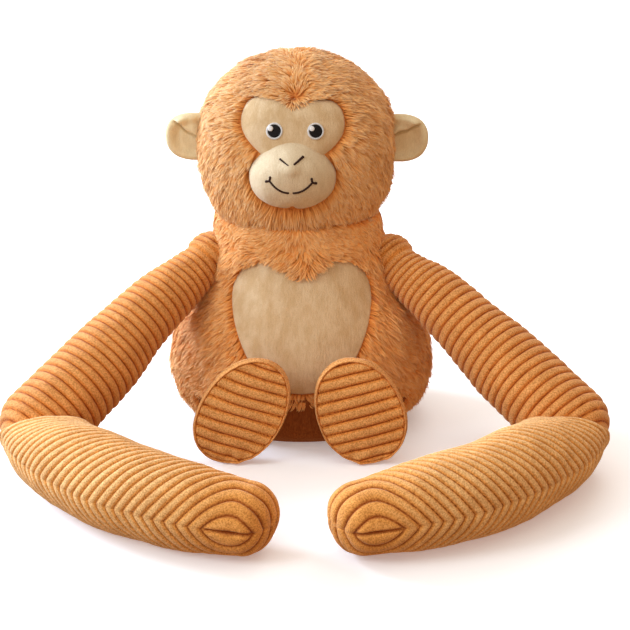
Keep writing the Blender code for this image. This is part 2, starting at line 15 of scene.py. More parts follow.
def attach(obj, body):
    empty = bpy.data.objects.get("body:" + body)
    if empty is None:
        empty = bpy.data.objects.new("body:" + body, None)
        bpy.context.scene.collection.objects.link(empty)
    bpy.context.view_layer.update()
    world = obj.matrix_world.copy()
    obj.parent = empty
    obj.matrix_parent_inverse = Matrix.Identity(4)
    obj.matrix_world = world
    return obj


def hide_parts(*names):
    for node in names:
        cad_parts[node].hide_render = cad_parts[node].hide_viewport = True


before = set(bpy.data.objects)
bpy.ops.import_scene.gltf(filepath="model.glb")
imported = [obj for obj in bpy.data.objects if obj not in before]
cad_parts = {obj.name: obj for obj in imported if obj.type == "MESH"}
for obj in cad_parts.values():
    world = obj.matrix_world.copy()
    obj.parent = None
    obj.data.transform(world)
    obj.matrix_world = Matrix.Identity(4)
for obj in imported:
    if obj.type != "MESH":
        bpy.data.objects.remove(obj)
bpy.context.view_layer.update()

SIDES = (("left", -1), ("right", 1))


def table(*rows):
    return np.array(rows, float)


# -------- sizes

# The face is laid out in the head's own axes, from HEAD_CENTRE.
HEAD_CENTRE = np.array((-0.004, -0.004, 0.2182))
HEAD_YAW = math.radians(2.0)
HEAD_HALF = np.array((0.0745, 0.068, 0.0695))
HEAD_SIDE_POWER, HEAD_CROWN_POWER, HEAD_JAW_POWER = 2.15, 2.1, 2.75
NECK_SEAT_RADIUS = 0.07
MUZZLE_CENTRE = np.array((-0.0005, -0.054, -0.0105))
MUZZLE_HALF = np.array((0.0322, 0.031, 0.0268))
EYES_MIDDLE = 0.0018
EYE_OFFSET = (0.015, 0.0222)
EAR_CENTRE = np.array((0.0785, 0.003, 0.003))
EAR_HALF = np.array((0.0215, 0.0068, 0.019))
# The tilt of the fold of each ear, and how far down it starts.
EAR_FOLD = {-1: (math.radians(37), 0.0072), 1: (math.radians(25), 0.0086)}
STITCH = 0.0016
HEAD_FUR_ROOM = 0.005  # how far the skin lies below the outside of the fur

# Height, then the half width, the depth in front and the depth behind.
TORSO = table(
    (0, 0.072, 0.073, 0.06), (0.004, 0.08, 0.0775, 0.067), (0.012, 0.0895, 0.0815, 0.073),
    (0.025, 0.0965, 0.0835, 0.077), (0.042, 0.1, 0.084, 0.0785), (0.06, 0.0975, 0.0828, 0.077),
    (0.08, 0.09, 0.0785, 0.073), (0.1, 0.076, 0.072, 0.066), (0.12, 0.0675, 0.0645, 0.0585),
    (0.14, 0.064, 0.059, 0.0545), (0.158, 0.0625, 0.057, 0.053), (0.172, 0.06, 0.055, 0.052),
)
TORSO_POWER = 2.1
TORSO_TOP = 0.166
SEAT_FRONT = (-0.084, 0.036, 0.19)  # the seat seam: y and z at the front, and its fall per metre backwards

# The limbs are those of the side at +X. The other side mirrors them.
SHOULDER = np.array((0.069, -0.013, 0.1335))
SHOULDER_BALL = 0.0192
SHOULDER_DROP = {-1: 0.0046, 1: 0.0064}
ELBOW = np.array((0.1925, -0.124, 0.0345))
# Distance from the shoulder, and radius.
UPPER_ARM = table(
    (0.0108, 0.0172), (0.018, 0.0187), (0.03, 0.021), (0.05, 0.0236), (0.08, 0.026), (0.11, 0.0277),
    (0.14, 0.029), (0.17, 0.0298), (0.193, 0.0298),
)
# The four points of the curve from the elbow to the hand.
FOREARM_PATH = table(
    (0.1925, -0.124, 0.0345), (0.178, -0.195, 0.0321), (0.116, -0.263, 0.0341), (0.0385, -0.276, 0.0265),
)
# Share of that curve, half width and half height.
FOREARM = table(
    (0, 0.0305, 0.0305), (0.12, 0.0315, 0.0309), (0.25, 0.0325, 0.0311), (0.4, 0.033, 0.0313),
    (0.55, 0.033, 0.0313), (0.7, 0.0325, 0.0307), (0.85, 0.0315, 0.0291), (1, 0.029, 0.0257),
)
FOLD_NORMAL, FOLD_AHEAD = np.array((-0.1, -0.76, -0.64)), 0.01  # the plane of the fold at the elbow
HAND_CAP = 0.021
HAND_EYE = 0.0485  # how far from the middle the ribs close round an eye at the hand
HAND_TURN = math.radians(20)
ARM_SHIFT = 0.0025  # the arms rest this much towards +X
RIB = 0.0075  # one corduroy rib and its groove
SOLE_RIB = 0.0086
RIB_HEIGHT = 0.003
LOWEST = 0.0003  # where the cloth that lies on the floor is flattened

HIP = np.array((0.0432, -0.0755, 0.0358))
FOOT_LEAN = {-1: math.radians(15), 1: math.radians(11)}
TOE_SHIFT = {-1: 0.19, 1: 0.09}
FOOT_RISE = 0.0056
# Distance in front of the hip, half width, half height, and the share of the sole's shape.
FOOT = table(
    (0.0092, 0.0131, 0.0131, 0), (0.012, 0.014, 0.014, 0.1), (0.0165, 0.0205, 0.0225, 0.5),
    (0.0215, 0.0268, 0.032, 0.8), (0.0275, 0.0304, 0.0368, 1), (0.035, 0.0325, 0.0401, 1),
    (0.0412, 0.0332, 0.0414, 1),
)

# x and z of the right half of each patch's outline, from the top down.
HEART = table(
    (0, 0.1275), (0.005, 0.13), (0.016, 0.1365), (0.029, 0.1378), (0.041, 0.132), (0.049, 0.1205),
    (0.0515, 0.108), (0.05, 0.094), (0.0455, 0.08), (0.0385, 0.066), (0.028, 0.053), (0.014, 0.045),
    (0, 0.043),
)
HEART_MIDDLE = np.array((0.0, 0.094))
MASK = table(
    (0, 0.0366), (0.006, 0.039), (0.0125, 0.0412), (0.019, 0.0422), (0.027, 0.0408), (0.033, 0.0355),
    (0.0357, 0.0275), (0.035, 0.02), (0.0322, 0.0148), (0.0288, 0.0108), (0.0245, 0.007), (0.015, 0),
    (0, -0.006),
)
MASK_ROLL = math.radians(-2.6)
MASK_MIDDLE = np.array((0.0, 0.019))

# -------- small maths


def xyz(x, y, z):
    return np.stack([x, y, z], axis=-1)


def joined(*parts):
    return np.concatenate(parts)


def axes(points):
    return np.moveaxis(points, -1, 0)


def shares(count):
    return np.linspace(0, 1, count)


def circle(count):
    """Angles evenly round a full turn."""
    return np.linspace(0, 2 * math.pi, count, endpoint=False)


def bell(offset, width):
    """1 where offset is 0, and falling off over width on both sides."""
    return np.exp(-((offset / width) ** 2))


def ease(low, high, value):
    """From 0 where value is low to 1 where it is high, smoothly."""
    t = np.clip((value - low) / (high - low), 0, 1)
    return t * t * (3 - 2 * t)


def unit(v):
    return v / np.maximum(np.linalg.norm(v, axis=-1, keepdims=True), 1e-12)


def run_along(path):
    """Distance from the start of a path to each of its points."""
    return np.append(0, np.cumsum(np.linalg.norm(np.diff(path, axis=0), axis=1)))


def noise(points, scale, seed):
    """Smooth noise from -1 to 1 at points in space, with features about scale across."""
    p = np.asarray(points) / scale + seed * 17.31
    cell = np.floor(p).astype(np.int64)
    f = p - cell
    f = f * f * (3 - 2 * f)
    total = 0.0
    for corner in range(8):
        offset = np.array([(corner >> k) & 1 for k in range(3)])
        c = cell + offset
        h = c[..., 0] * 73856093 ^ c[..., 1] * 19349663 ^ c[..., 2] * 83492791 ^ seed * 2654435
        h = (h ^ (h >> 13)) * 1274126177 & 0x7FFFFFFF
        weight = np.prod(np.where(offset == 1, f, 1 - f), axis=-1)
        total = total + weight * ((h ^ (h >> 16)) % 65536 / 32768.0 - 1.0)
    return total


def swirl(points, scale, seed):
    return np.stack([noise(points, scale, seed + k) for k in range(3)], axis=-1)


def turn_z(points, angle):
    c, s = math.cos(angle), math.sin(angle)
    x, y, z = axes(points)
    return xyz(x * c - y * s, x * s + y * c, z)


def spline(keys, values, at):
    """Smooth curve through values at keys, column by column, flat beyond its ends."""
    keys, values = np.asarray(keys, float), np.asarray(values, float)
    at = np.clip(at, keys[0], keys[-1])
    slopes = np.gradient(values, keys, axis=0)
    i = np.clip(np.searchsorted(keys, at, side="right") - 1, 0, len(keys) - 2)
    width = keys[i + 1] - keys[i]
    t = (at - keys[i]) / width
    shape = t.shape + (1,) * (values.ndim - 1)
    t, width = t.reshape(shape), width.reshape(shape)
    a, b, da, db = values[i], values[i + 1], slopes[i] * width, slopes[i + 1] * width
    return a + da * t + (3 * (b - a) - 2 * da - db) * t**2 + (2 * (a - b) + da + db) * t**3


def outline(half, steps=5):
    """Closed smooth outline from the points of its right half, top to bottom."""
    at = np.linspace(0, len(half) - 1, (len(half) - 1) * steps + 1)
    right = spline(np.arange(len(half)), half, at)
    left = right[-2:0:-1] * np.array((-1, 1))
    return joined(right, left)


def reach(edge, middle, angle):
    """How far the outline is from its middle, at angles from +x towards +z."""
    rel = edge - middle
    bearing = np.unwrap(np.arctan2(rel[:, 1], rel[:, 0]))
    if bearing[-1] < bearing[0]:
        rel, bearing = rel[::-1], bearing[::-1]
    size = np.linalg.norm(rel, axis=1)
    angle = (angle - bearing[0]) % (2 * math.pi) + bearing[0]
    return np.interp(angle, np.append(bearing, bearing[0] + 2 * math.pi), np.append(size, size[0]))


def beyond(points, edge, middle):
    """How far points are outside an outline seen from in front, negative inside, measured from its middle."""
    rel = points[..., [0, 2]] - middle
    return np.linalg.norm(rel, axis=-1) - reach(edge, middle, np.arctan2(rel[..., 1], rel[..., 0]))


def beside(points, edge, middle):
    """1 next to an outline on the front, falling to 0 at 1 cm from it."""
    return 1 - np.minimum(np.abs(beyond(points, edge, middle)) / 0.01 + 2 * (points[:, 1] > 0), 1)


def patch_rings(edge, middle, columns, rim):
    """Rings from a patch's middle to its rim, as x and z, and what share of the way out each ring lies."""
    share = joined(np.linspace(0.03, 0.97, 30), rim)[:, None]
    turns = circle(columns)
    radius = reach(edge, middle, turns)[None, :] * share
    return middle[0] + radius * np.cos(turns), middle[1] + radius * np.sin(turns), share


def rolled(edge, middle, angle):
    c, s = math.cos(angle), math.sin(angle)
    return (edge - middle) @ np.array(((c, s), (-s, c))) + middle


HEART_EDGE = outline(HEART)
MASK_EDGE = rolled(outline(MASK * np.array((1.025, 1.0))), MASK_MIDDLE, MASK_ROLL) + np.array((-0.0007, 0))

# -------- shapes of the toy


def head_radius(d):
    x, y, z = (np.abs(d[..., i]) / HEAD_HALF[i] for i in range(3))
    power = HEAD_CROWN_POWER + (HEAD_JAW_POWER - HEAD_CROWN_POWER) * ease(0.2, -0.5, d[..., 2])
    level = (x**HEAD_SIDE_POWER + y**HEAD_SIDE_POWER) ** (1 / HEAD_SIDE_POWER)
    radius = (level**power + z**power) ** (-1 / power)
    seat = ease(math.cos(math.radians(50)), math.cos(math.radians(37)), -d[..., 2])
    return radius * (1 - seat) + NECK_SEAT_RADIUS * seat


def head_front(x, z):
    """Depth y of the face at x and z from the head's centre."""
    low, high = np.full(np.shape(x), 0.01), np.full(np.shape(x), 0.09)
    for _ in range(32):
        y = (low + high) / 2
        spot = xyz(x, -y, z)
        inside = np.linalg.norm(spot, axis=-1) < head_radius(unit(spot))
        low, high = np.where(inside, y, low), np.where(inside, high, y)
    return -low


def on_head(local):
    """From the head's own axes to the world."""
    return turn_z(np.asarray(local, float), -HEAD_YAW) + HEAD_CENTRE


def torso_size(z):
    return spline(TORSO[:, 0], TORSO[:, 1:], z)


def torso_lean(z):
    """How far the chest sits towards -X."""
    return -0.0032 * ease(0.095, 0.165, z)


def torso_point(angle, z, out=0.0):
    """A point of the torso's outside at an angle about +Z and a height."""
    size = torso_size(z)
    c, s = np.cos(angle), np.sin(angle)
    depth = np.where(s < 0, size[..., 1], size[..., 2]) + out
    length = (np.abs(c) ** TORSO_POWER + np.abs(s) ** TORSO_POWER) ** (-1 / TORSO_POWER)
    return xyz((size[..., 0] + out) * c * length + torso_lean(z), depth * s * length, z + 0 * c)


def torso_front(x, z):
    size = torso_size(z)
    share = np.clip(np.abs(x - torso_lean(z)) / size[..., 0], 0, 1)
    return -size[..., 1] * (1 - share**TORSO_POWER) ** (1 / TORSO_POWER)


def muzzle_point(d):
    """A point of the muzzle in a direction. It is full below and narrow at the nose."""
    d = unit(d)
    x, y, z = axes(d)
    full = 0.1 * ease(0.15, -0.75, z) * (1 - np.abs(np.abs(x) - 0.62))
    narrow = 0.15 * ease(0.0, 0.8, z) * (1 - 0.3 * ease(0.8, 1.0, z))
    squareness = 1 + full - narrow
    spot = xyz(x * MUZZLE_HALF[0] * squareness, y * MUZZLE_HALF[1], z * MUZZLE_HALF[2])
    across, up = spot[..., 0], spot[..., 2]
    # The nose is a short raised ridge between the nostrils that ends in a small tip.
    nose = bell(across, 0.0062) * bell(up - 0.0085, 0.005)
    bridge = bell(across, 0.0085) * ease(0.003, 0.012, up) * ease(0.03, 0.014, up)
    spot[..., 1] -= ease(0.25, 0.9, -y) * (0.0024 * nose + 0.0012 * bridge)
    # The chin is drawn in at the middle, which leaves two soft lobes.
    cleft = bell(across, 0.0022) * ease(-0.75, -0.97, z)
    lobes = ease(-0.5, -0.95, z) * (1 - bell(across, 0.009))
    spot[..., 2] += 0.0018 * cleft
    spot[..., 2] -= 0.0006 * lobes
    return spot + MUZZLE_CENTRE


# -------- meshes


def new_object(name, mesh):
    obj = bpy.data.objects.new(name, mesh)
    bpy.context.scene.collection.objects.link(obj)
    return obj


def mesh_piece(name, points, faces, paint, attributes=None):
    """A smooth mesh object. Each array in faces holds faces with one number of corners."""
    loops = np.concatenate([group.ravel() for group in faces])
    corners = np.concatenate([np.full(len(group), group.shape[1]) for group in faces])
    starts = np.cumsum(corners) - corners
    mesh = bpy.data.meshes.new(name)
    mesh.vertices.add(len(points))
    mesh.vertices.foreach_set("co", np.asarray(points, np.float32).ravel())
    mesh.loops.add(len(loops))
    mesh.loops.foreach_set("vertex_index", loops.astype(np.int32))
    mesh.polygons.add(len(starts))
    mesh.polygons.foreach_set("loop_start", starts.astype(np.int32))
    mesh.update(calc_edges=True)
    for key, values in (attributes or {}).items():
        layer = mesh.attributes.new(key, "FLOAT", "POINT")
        layer.data.foreach_set("value", np.asarray(values, np.float32).ravel())
    mesh.materials.append(paint)
    return new_object(name, mesh)


def grid_faces(rows, columns):
    """Quads of a grid of points whose columns run round."""
    here = np.arange(rows - 1)[:, None] * columns
    above = here + columns
    c = np.arange(columns)[None, :]
    n = (c + 1) % columns
    return np.stack([here + c, here + n, above + n, above + c], axis=-1).reshape(-1, 4)


def skin(name, grid, paint, crown=None, flip=False):
    """A closed tube of rings, each end closed by a fan of triangles to its middle.

    crown is the painted shade of corduroy ribs at each point, from 0 dark in a groove to 1 away from it.
    """
    rows, columns = grid.shape[:2]
    points = joined(grid.reshape(-1, 3), [grid[0].mean(axis=0), grid[-1].mean(axis=0)])
    a = np.arange(columns)
    b = (a + 1) % columns
    last, tip = (rows - 1) * columns, np.full(columns, rows * columns)
    quads = grid_faces(rows, columns)
    triangles = joined(np.stack([b, a, tip], axis=-1), np.stack([last + a, last + b, tip + 1], axis=-1))
    attributes = {}
    if crown is not None:
        attributes["crown"] = joined(crown.reshape(-1), [crown[0].mean(), crown[-1].mean()])
    if flip:
        quads, triangles = quads[:, ::-1], triangles[:, ::-1]
    return mesh_piece(name, points, [quads, triangles], paint, attributes)


def grid_normals(grid):
    """Outward normals of a grid of points whose columns run round."""
    along = np.gradient(grid, axis=0)
    around = np.roll(grid, -1, axis=1) - np.roll(grid, 1, axis=1)
    normal = unit(np.cross(around, along))
    outward = (normal * (grid - grid.mean(axis=(0, 1)))).sum()
    return normal if outward > 0 else -normal


def swell(grid, height):
    return grid + grid_normals(grid) * height[..., None]


def tube(path, radii):
    """Rings of 8 points round a path."""
    along = unit(np.gradient(path, axis=0))
    side = unit(np.cross(along, np.array((0.3, -0.8, 0.52))))
    up = np.cross(side, along)
    turns = circle(8)
    arms = side[:, None] * np.cos(turns)[None, :, None] + up[:, None] * np.sin(turns)[None, :, None]
    return path[:, None] + arms * radii[:, None, None]


# -------- materials


def feed(tree, node, inputs):
    """Links each input that is given a socket, and sets any other."""
    for key, value in inputs.items():
        if isinstance(value, bpy.types.NodeSocket):
            tree.links.new(value, node.inputs[key])
        else:
            node.inputs[key].default_value = value


def add(tree, kind, inputs, **settings):
    node = tree.nodes.new(kind)
    for key, value in settings.items():
        setattr(node, key, value)
    feed(tree, node, inputs)
    return node


def ramp(tree, factor, *stops):
    """Colours along factor. Its first and last stops come first, then those between them."""
    node = add(tree, "ShaderNodeValToRGB", {"Fac": factor})
    node.color_ramp.interpolation = "EASE"
    for i, (position, colour) in enumerate(stops):
        element = node.color_ramp.elements[i] if i < 2 else node.color_ramp.elements.new(position)
        element.position = position
        element.color = (*colour, 1)
    return node.outputs["Color"]


def math_node(tree, operation, *values):
    return add(tree, "ShaderNodeMath", dict(enumerate(values)), operation=operation).outputs[0]


def multiply(tree, colour, by):
    inputs = {0: 1.0, 6: colour, 7: by}
    return add(tree, "ShaderNodeMix", inputs, data_type="RGBA", blend_type="MULTIPLY").outputs[2]


def grain(tree, size, detail=2.0, stretch=None):
    """Noise with features about size across, in metres, fixed to the piece."""
    where = add(tree, "ShaderNodeTexCoord", {}).outputs["Object"]
    if stretch:
        where = add(tree, "ShaderNodeMapping", {"Vector": where, "Scale": stretch}).outputs[0]
    values = {"Vector": where, "Scale": 1 / size, "Detail": detail, "Roughness": 0.6}
    return add(tree, "ShaderNodeTexNoise", values).outputs["Fac"]


def attribute(tree, name):
    return add(tree, "ShaderNodeAttribute", {}, attribute_name=name).outputs["Fac"]


def new_material(name, roughness, sheen, sheen_tint=(1, 1, 1), specular=0.3):
    material = bpy.data.materials.new(name)
    material.use_nodes = True
    tree = material.node_tree
    shader = tree.nodes["Principled BSDF"]
    values = {"Roughness": roughness, "Specular IOR Level": specular, "Sheen Weight": sheen}
    feed(tree, shader, values | {"Sheen Roughness": 0.4, "Sheen Tint": (*sheen_tint, 1)})
    return material, tree, shader


def finish_material(tree, shader, colour, height, depth, strength=1.0):
    bump = add(tree, "ShaderNodeBump", {"Height": height, "Distance": depth, "Strength": strength})
    feed(tree, shader, {"Base Color": colour, "Normal": bump.outputs[0]})


def fur_material(name, depth, crest):
    """Strands: deep orange at the root, which is painted shade among the strands, and pale at the tip, partly
    the fur's own colour and partly painted light; no two locks quite the same.
    """
    material, tree, shader = new_material(name, 0.7, 0.48, (1.0, 0.9, 0.76), 0.15)
    # Painted shade at the root, and partly painted light at the tip.
    root, tip = (0.0, (0.76, 0.255, 0.05)), (1.0, (0.96, 0.75, 0.47))
    low, high = (0.35, (0.89, 0.41, 0.115)), (0.7, (0.94, 0.575, 0.255))
    colour = ramp(tree, attribute(tree, "along"), root, tip, low, high)
    dull, bright = (0.0, (0.84, 0.76, 0.68)), (1.0, (1.08, 1.13, 1.2))
    colour = multiply(tree, colour, ramp(tree, attribute(tree, "tone"), dull, bright, (0.5, (1, 1, 1))))
    colour = multiply(tree, colour, ramp(tree, grain(tree, 0.012), (0.25, depth), (0.75, crest)))
    tree.links.new(colour, shader.inputs["Base Color"])
    return material


def plush_material(name, dark, light):
    """Short cropped pile: fine speckle, brushed patches where the nap lies differently."""
    material, tree, shader = new_material(name, 0.88, 0.35, (1.0, 0.93, 0.82), 0.2)
    speckle = grain(tree, 0.00055, 3.0)
    nap = grain(tree, 0.0085, 2.0, (1.0, 1.0, 0.5))
    brushed = grain(tree, 0.0022, 2.0, (1.6, 1.0, 0.35))
    colour = ramp(tree, nap, (0.3, dark), (0.72, light))
    streak = ramp(tree, brushed, (0.3, (0.97, 0.96, 0.94)), (0.75, (1.02, 1.02, 1.02)))
    colour = multiply(tree, colour, streak)
    dots = ramp(tree, speckle, (0.32, (0.91, 0.89, 0.86)), (0.65, (1.04, 1.04, 1.04)))
    colour = multiply(tree, colour, dots)
    finish_material(tree, shader, colour, math_node(tree, "ADD", speckle, brushed), 0.0005)
    return material


def corduroy_material(name, groove, flank, crest):
    """Velvety ribs with speckled pile, coloured by the crown attribute: painted shade, dark and deep orange,
    in the grooves, and pale on top of the ribs.
    """
    material, tree, shader = new_material(name, 0.85, 0.35, (1.0, 0.88, 0.7), 0.15)
    crown = attribute(tree, "crown")
    pile = grain(tree, 0.0011, 3.0)
    # Painted shade: from the groove colour in the grooves up to the pale crest colour on top.
    colour = ramp(tree, crown, (0.0, groove), (1.0, crest), (0.55, flank))
    colour = multiply(tree, colour, ramp(tree, pile, (0.32, (0.7, 0.6, 0.5)), (0.66, (1.16, 1.19, 1.24))))
    nap = ramp(tree, grain(tree, 0.014), (0.3, (0.93, 0.9, 0.87)), (0.7, (1.06, 1.07, 1.08)))
    finish_material(tree, shader, multiply(tree, colour, nap), pile, 0.0009, 0.9)
    return material


def fibre_material(name, surface, fibre, bump, dark, light):
    """Cloth or thread, dark between its fibres. surface goes to new_material, and fibre to grain."""
    material, tree, shader = new_material(name, *surface)
    fibres = grain(tree, *fibre)
    finish_material(tree, shader, ramp(tree, fibres, dark, light), fibres, bump)
    return material


def thread_material(name, dark, light, roughness=0.45):
    """Embroidery: fine lengthways fibres with a soft shine."""
    surface = (roughness, 0.0, (1, 1, 1), 0.12)
    return fibre_material(name, surface, (0.0004, 2.0, (1.0, 1.0, 4.0)), 0.0002, (0.3, dark), (0.7, light))


FUR = {
    "head": fur_material("head_fur_strands", (0.98, 0.93, 0.84), (1.0, 1.0, 1.0)),
    # Painted shade: the torso's coat is toned darker and deeper than the head's, for the shade on the chest
    # and sides.
    "torso": fur_material("torso_fur_strands", (0.98, 0.79, 0.58), (1.02, 0.93, 0.8)),
}
# The backing takes the fur's orange, and its dark fibre colour is painted shade, so that skin seen between
# the strands reads as shaded fur.
BACKING_SHADE, ORANGE = (0.3, (0.62, 0.19, 0.035)), (0.75, (0.84, 0.34, 0.085))
BACKING = fibre_material("fur_backing", (0.9, 0.1), (0.0012, 3.0, (1.0, 1.0, 0.25)), 0.0015, BACKING_SHADE, ORANGE)
PLUSH = plush_material("beige_patch", (0.67, 0.465, 0.25), (0.78, 0.59, 0.365))
MUZZLE_PLUSH = plush_material("cream_muzzle", (0.73, 0.585, 0.385), (0.78, 0.64, 0.435))
# The ears' plush is paler than the patch: partly their own paler beige, and partly painted light that lifts
# the shade of their dished fronts.
EAR_PLUSH = plush_material("pale_ear", (0.86, 0.7, 0.42), (0.92, 0.78, 0.5))
CORDUROY = corduroy_material("corduroy", (0.36, 0.065, 0.006), (0.78, 0.3, 0.06), (0.85, 0.44, 0.15))
# Painted light and shade: the upper sleeves take a darker copy of the corduroy, for the shade they lie in,
# and the forearms a paler copy, for the light on their tops.
SHADED_CORDUROY = corduroy_material(
    "corduroy_shaded", (0.34, 0.056, 0.005), (0.71, 0.25, 0.045), (0.77, 0.36, 0.112)
)
LIT_CORDUROY = corduroy_material(
    "corduroy_lit", (0.38, 0.085, 0.01), (0.82, 0.365, 0.086), (0.88, 0.525, 0.215)
)
SEAT_SURFACE, SEAT_FIBRE = (0.8, 0.15, (1.0, 0.7, 0.45), 0.2), (0.0016, 3.0, (1.4, 1.4, 0.4))
# The seat cloth's dark brown is partly its own colour and partly painted shade, for the shade it lies in
# under the toy.
UMBER, CHESTNUT = (0.25, (0.22, 0.058, 0.011)), (0.8, (0.36, 0.112, 0.024))
SEAT = fibre_material("seat_cloth", SEAT_SURFACE, SEAT_FIBRE, 0.0005, UMBER, CHESTNUT)
BLACK = thread_material("black_stitching", (0.006, 0.005, 0.005), (0.02, 0.016, 0.015))
BROWN = thread_material("dark_stitching", (0.02, 0.008, 0.006), (0.06, 0.024, 0.016), 0.6)
WHITE = thread_material("white_stitching", (0.6, 0.59, 0.58), (0.88, 0.87, 0.86))
BRIGHT = thread_material("bright_stitching", (0.86, 0.86, 0.86), (0.95, 0.95, 0.95))
TAUPE, GREY = (0.3, (0.52, 0.48, 0.4)), (0.7, (0.72, 0.68, 0.58))
COTTON = fibre_material("pouch_cloth", (0.95, 0.2), (0.003, 4.0), 0.001, TAUPE, GREY)

# -------- fur

CLUMP = 0.55  # how far the tips of a lock are drawn together
HAIRS_IN_CLUMP = 14
FUR_PIECES = 4  # each coat is shared out over this many pieces


def nearest(seeds, points):
    tree = KDTree(len(seeds))
    for i, seed in enumerate(seeds):
        tree.insert(seed, i)
    tree.balance()
    return np.array([tree.find(p)[1] for p in points])


def tangent(direction, normal):
    return unit(direction - normal * (direction * normal).sum(-1, keepdims=True))


def grow(roots, normals, flow, length, lift, rng, seed):
    """Strand centre lines, 4 points each, and the tone of each strand."""
    count = len(roots)
    flow = tangent(flow + swirl(roots, 0.016, seed) * 0.38 + swirl(roots, 0.005, seed + 5) * 0.22, normals)
    length = length * (0.72 + 0.5 * rng.random(count)) * (1 + 0.18 * noise(roots, 0.02, seed + 9))
    lift = lift * (0.7 + 0.6 * rng.random(count)) * (1 + 0.35 * noise(roots, 0.01, seed + 11))
    heading = tangent(flow + rng.normal(0, 0.16, (count, 3)), normals)
    steps = np.array((0.0, 0.36, 0.7, 1.0))
    rise = np.stack([lift * t - lift * 0.62 * t**2 for t in steps], axis=1)
    path = roots[:, None] + heading[:, None] * (length[:, None] * steps)[..., None]
    path = path + normals[:, None] * (length[:, None] * rise)[..., None]
    seeds = rng.choice(count, count // HAIRS_IN_CLUMP, replace=False)
    owner = seeds[nearest(roots[seeds], roots)]
    pull = CLUMP * (0.6 + 0.8 * rng.random(count))[:, None, None] * (steps**1.3)[None, :, None]
    pull = np.clip(pull, 0, 0.9)
    path = path * (1 - pull) + (path[owner] + (roots - roots[owner])[:, None] * 0.15) * pull
    sway = swirl(path.reshape(-1, 3), 0.0035, seed + 21).reshape(path.shape) * 0.0005
    path = path + sway * steps[None, :, None]
    lock = 0.3 * (rng.random(count)[owner] - 0.5)
    tone = 0.5 + lock + 0.5 * (rng.random(count) - 0.5) + 0.16 * noise(roots, 0.018, seed + 31)
    return path, np.clip(tone, 0, 1)


def strands(name, path, normals, tone, width, body, rng):
    """Flat tapering hairs, facing outwards, as one mesh."""
    count = len(path)
    heading = unit(path[:, 2] - path[:, 0])
    across = unit(np.cross(heading, normals))
    roll = rng.normal(0, 0.45, count)[:, None]
    across = unit(across * np.cos(roll) + np.cross(heading, across) * np.sin(roll))
    half = 0.5 * width * (0.7 + 0.6 * rng.random(count))
    points = np.empty((count, 7, 3))
    for k, share in enumerate((0.85, 1.0, 0.72)):
        offset = across * (half * share)[:, None]
        points[:, 2 * k] = path[:, k] - offset
        points[:, 2 * k + 1] = path[:, k] + offset
    points[:, 6] = path[:, 3]
    base = (np.arange(count) * 7)[:, None]
    quads = joined(base + np.array((0, 1, 3, 2)), base + np.array((2, 3, 5, 4)))
    tips = base + np.array((4, 5, 6))
    along = np.tile(np.array((0.0, 0.0, 0.36, 0.36, 0.7, 0.7, 1.0)), (count, 1))
    attributes = {"along": along, "tone": np.repeat(tone[:, None], 7, axis=1)}
    obj = mesh_piece(name, points.reshape(-1, 3), [quads, tips], FUR[body], attributes)
    map_strands(obj.data, count)
    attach(obj, body)


def map_strands(mesh, count):
    """Gives each strand its own small cell of a UV map named OFBake."""
    cells = math.ceil(math.sqrt(count))
    corners = ((0.2, 0.0), (0.8, 0.0), (0.2, 0.36), (0.8, 0.36), (0.25, 0.7), (0.75, 0.7), (0.5, 1.0))
    index = np.empty(len(mesh.loops), np.int32)
    mesh.loops.foreach_get("vertex_index", index)
    strand, corner = index // 7, index % 7
    cell = np.stack([strand % cells, strand // cells], axis=1)
    uv = (cell + 0.1 + 0.8 * np.array(corners)[corner]) / cells
    layer = mesh.uv_layers.new(name="OFBake")
    layer.data.foreach_set("uv", uv.astype(np.float32).ravel())


def fur_coat(body, roots, normals, flow, length, lift, width, seed):
    rng = np.random.default_rng(seed)
    path, tone = grow(roots, normals, flow, length, lift, rng, seed)
    for k, part in enumerate(np.array_split(np.arange(len(roots)), FUR_PIECES)):
        strands(f"{body}_fur_{k + 1}", path[part], normals[part], tone[part], width, body, rng)


def outward_samples(grid, count, rng):
    """Random spots on a grid of points, evenly by area, and their outward normals."""
    points, quads = grid.reshape(-1, 3), grid_faces(*grid.shape[:2])
    triangles = joined(quads[:, [0, 1, 2]], quads[:, [0, 2, 3]])
    a, b, c = (points[triangles[:, k]] for k in range(3))
    cross = np.cross(b - a, c - a)
    area = np.linalg.norm(cross, axis=1)
    share = np.cumsum(area) / area.sum()
    pick = np.searchsorted(share, rng.random(count))
    u, v = rng.random(count), rng.random(count)
    over = u + v > 1
    u, v = np.where(over, 1 - u, u), np.where(over, 1 - v, v)
    spots = a[pick] + (b - a)[pick] * u[:, None] + (c - a)[pick] * v[:, None]
    normals = unit(cross[pick])
    inward = (normals * (spots - grid.mean(axis=(0, 1)))).sum() < 0
    return spots, -normals if inward else normals


# -------- head

HEAD_HAIRS = 125000
HEAD_HAIR = 0.00062  # width


def build_head_skin():
    polar = np.radians(np.linspace(3, 177, 96))[:, None]
    azimuth = circle(144)[None, :]
    d = xyz(np.sin(polar) * np.cos(azimuth), np.sin(polar) * np.sin(azimuth), np.cos(polar) + 0 * azimuth)
    grid = d * (head_radius(d) - HEAD_FUR_ROOM)[..., None]
    piece = skin("head_skin", on_head(grid), BACKING)
    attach(piece, "head")
    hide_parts("head_left_panel", "head_right_panel", "head_stuffing")
    return grid


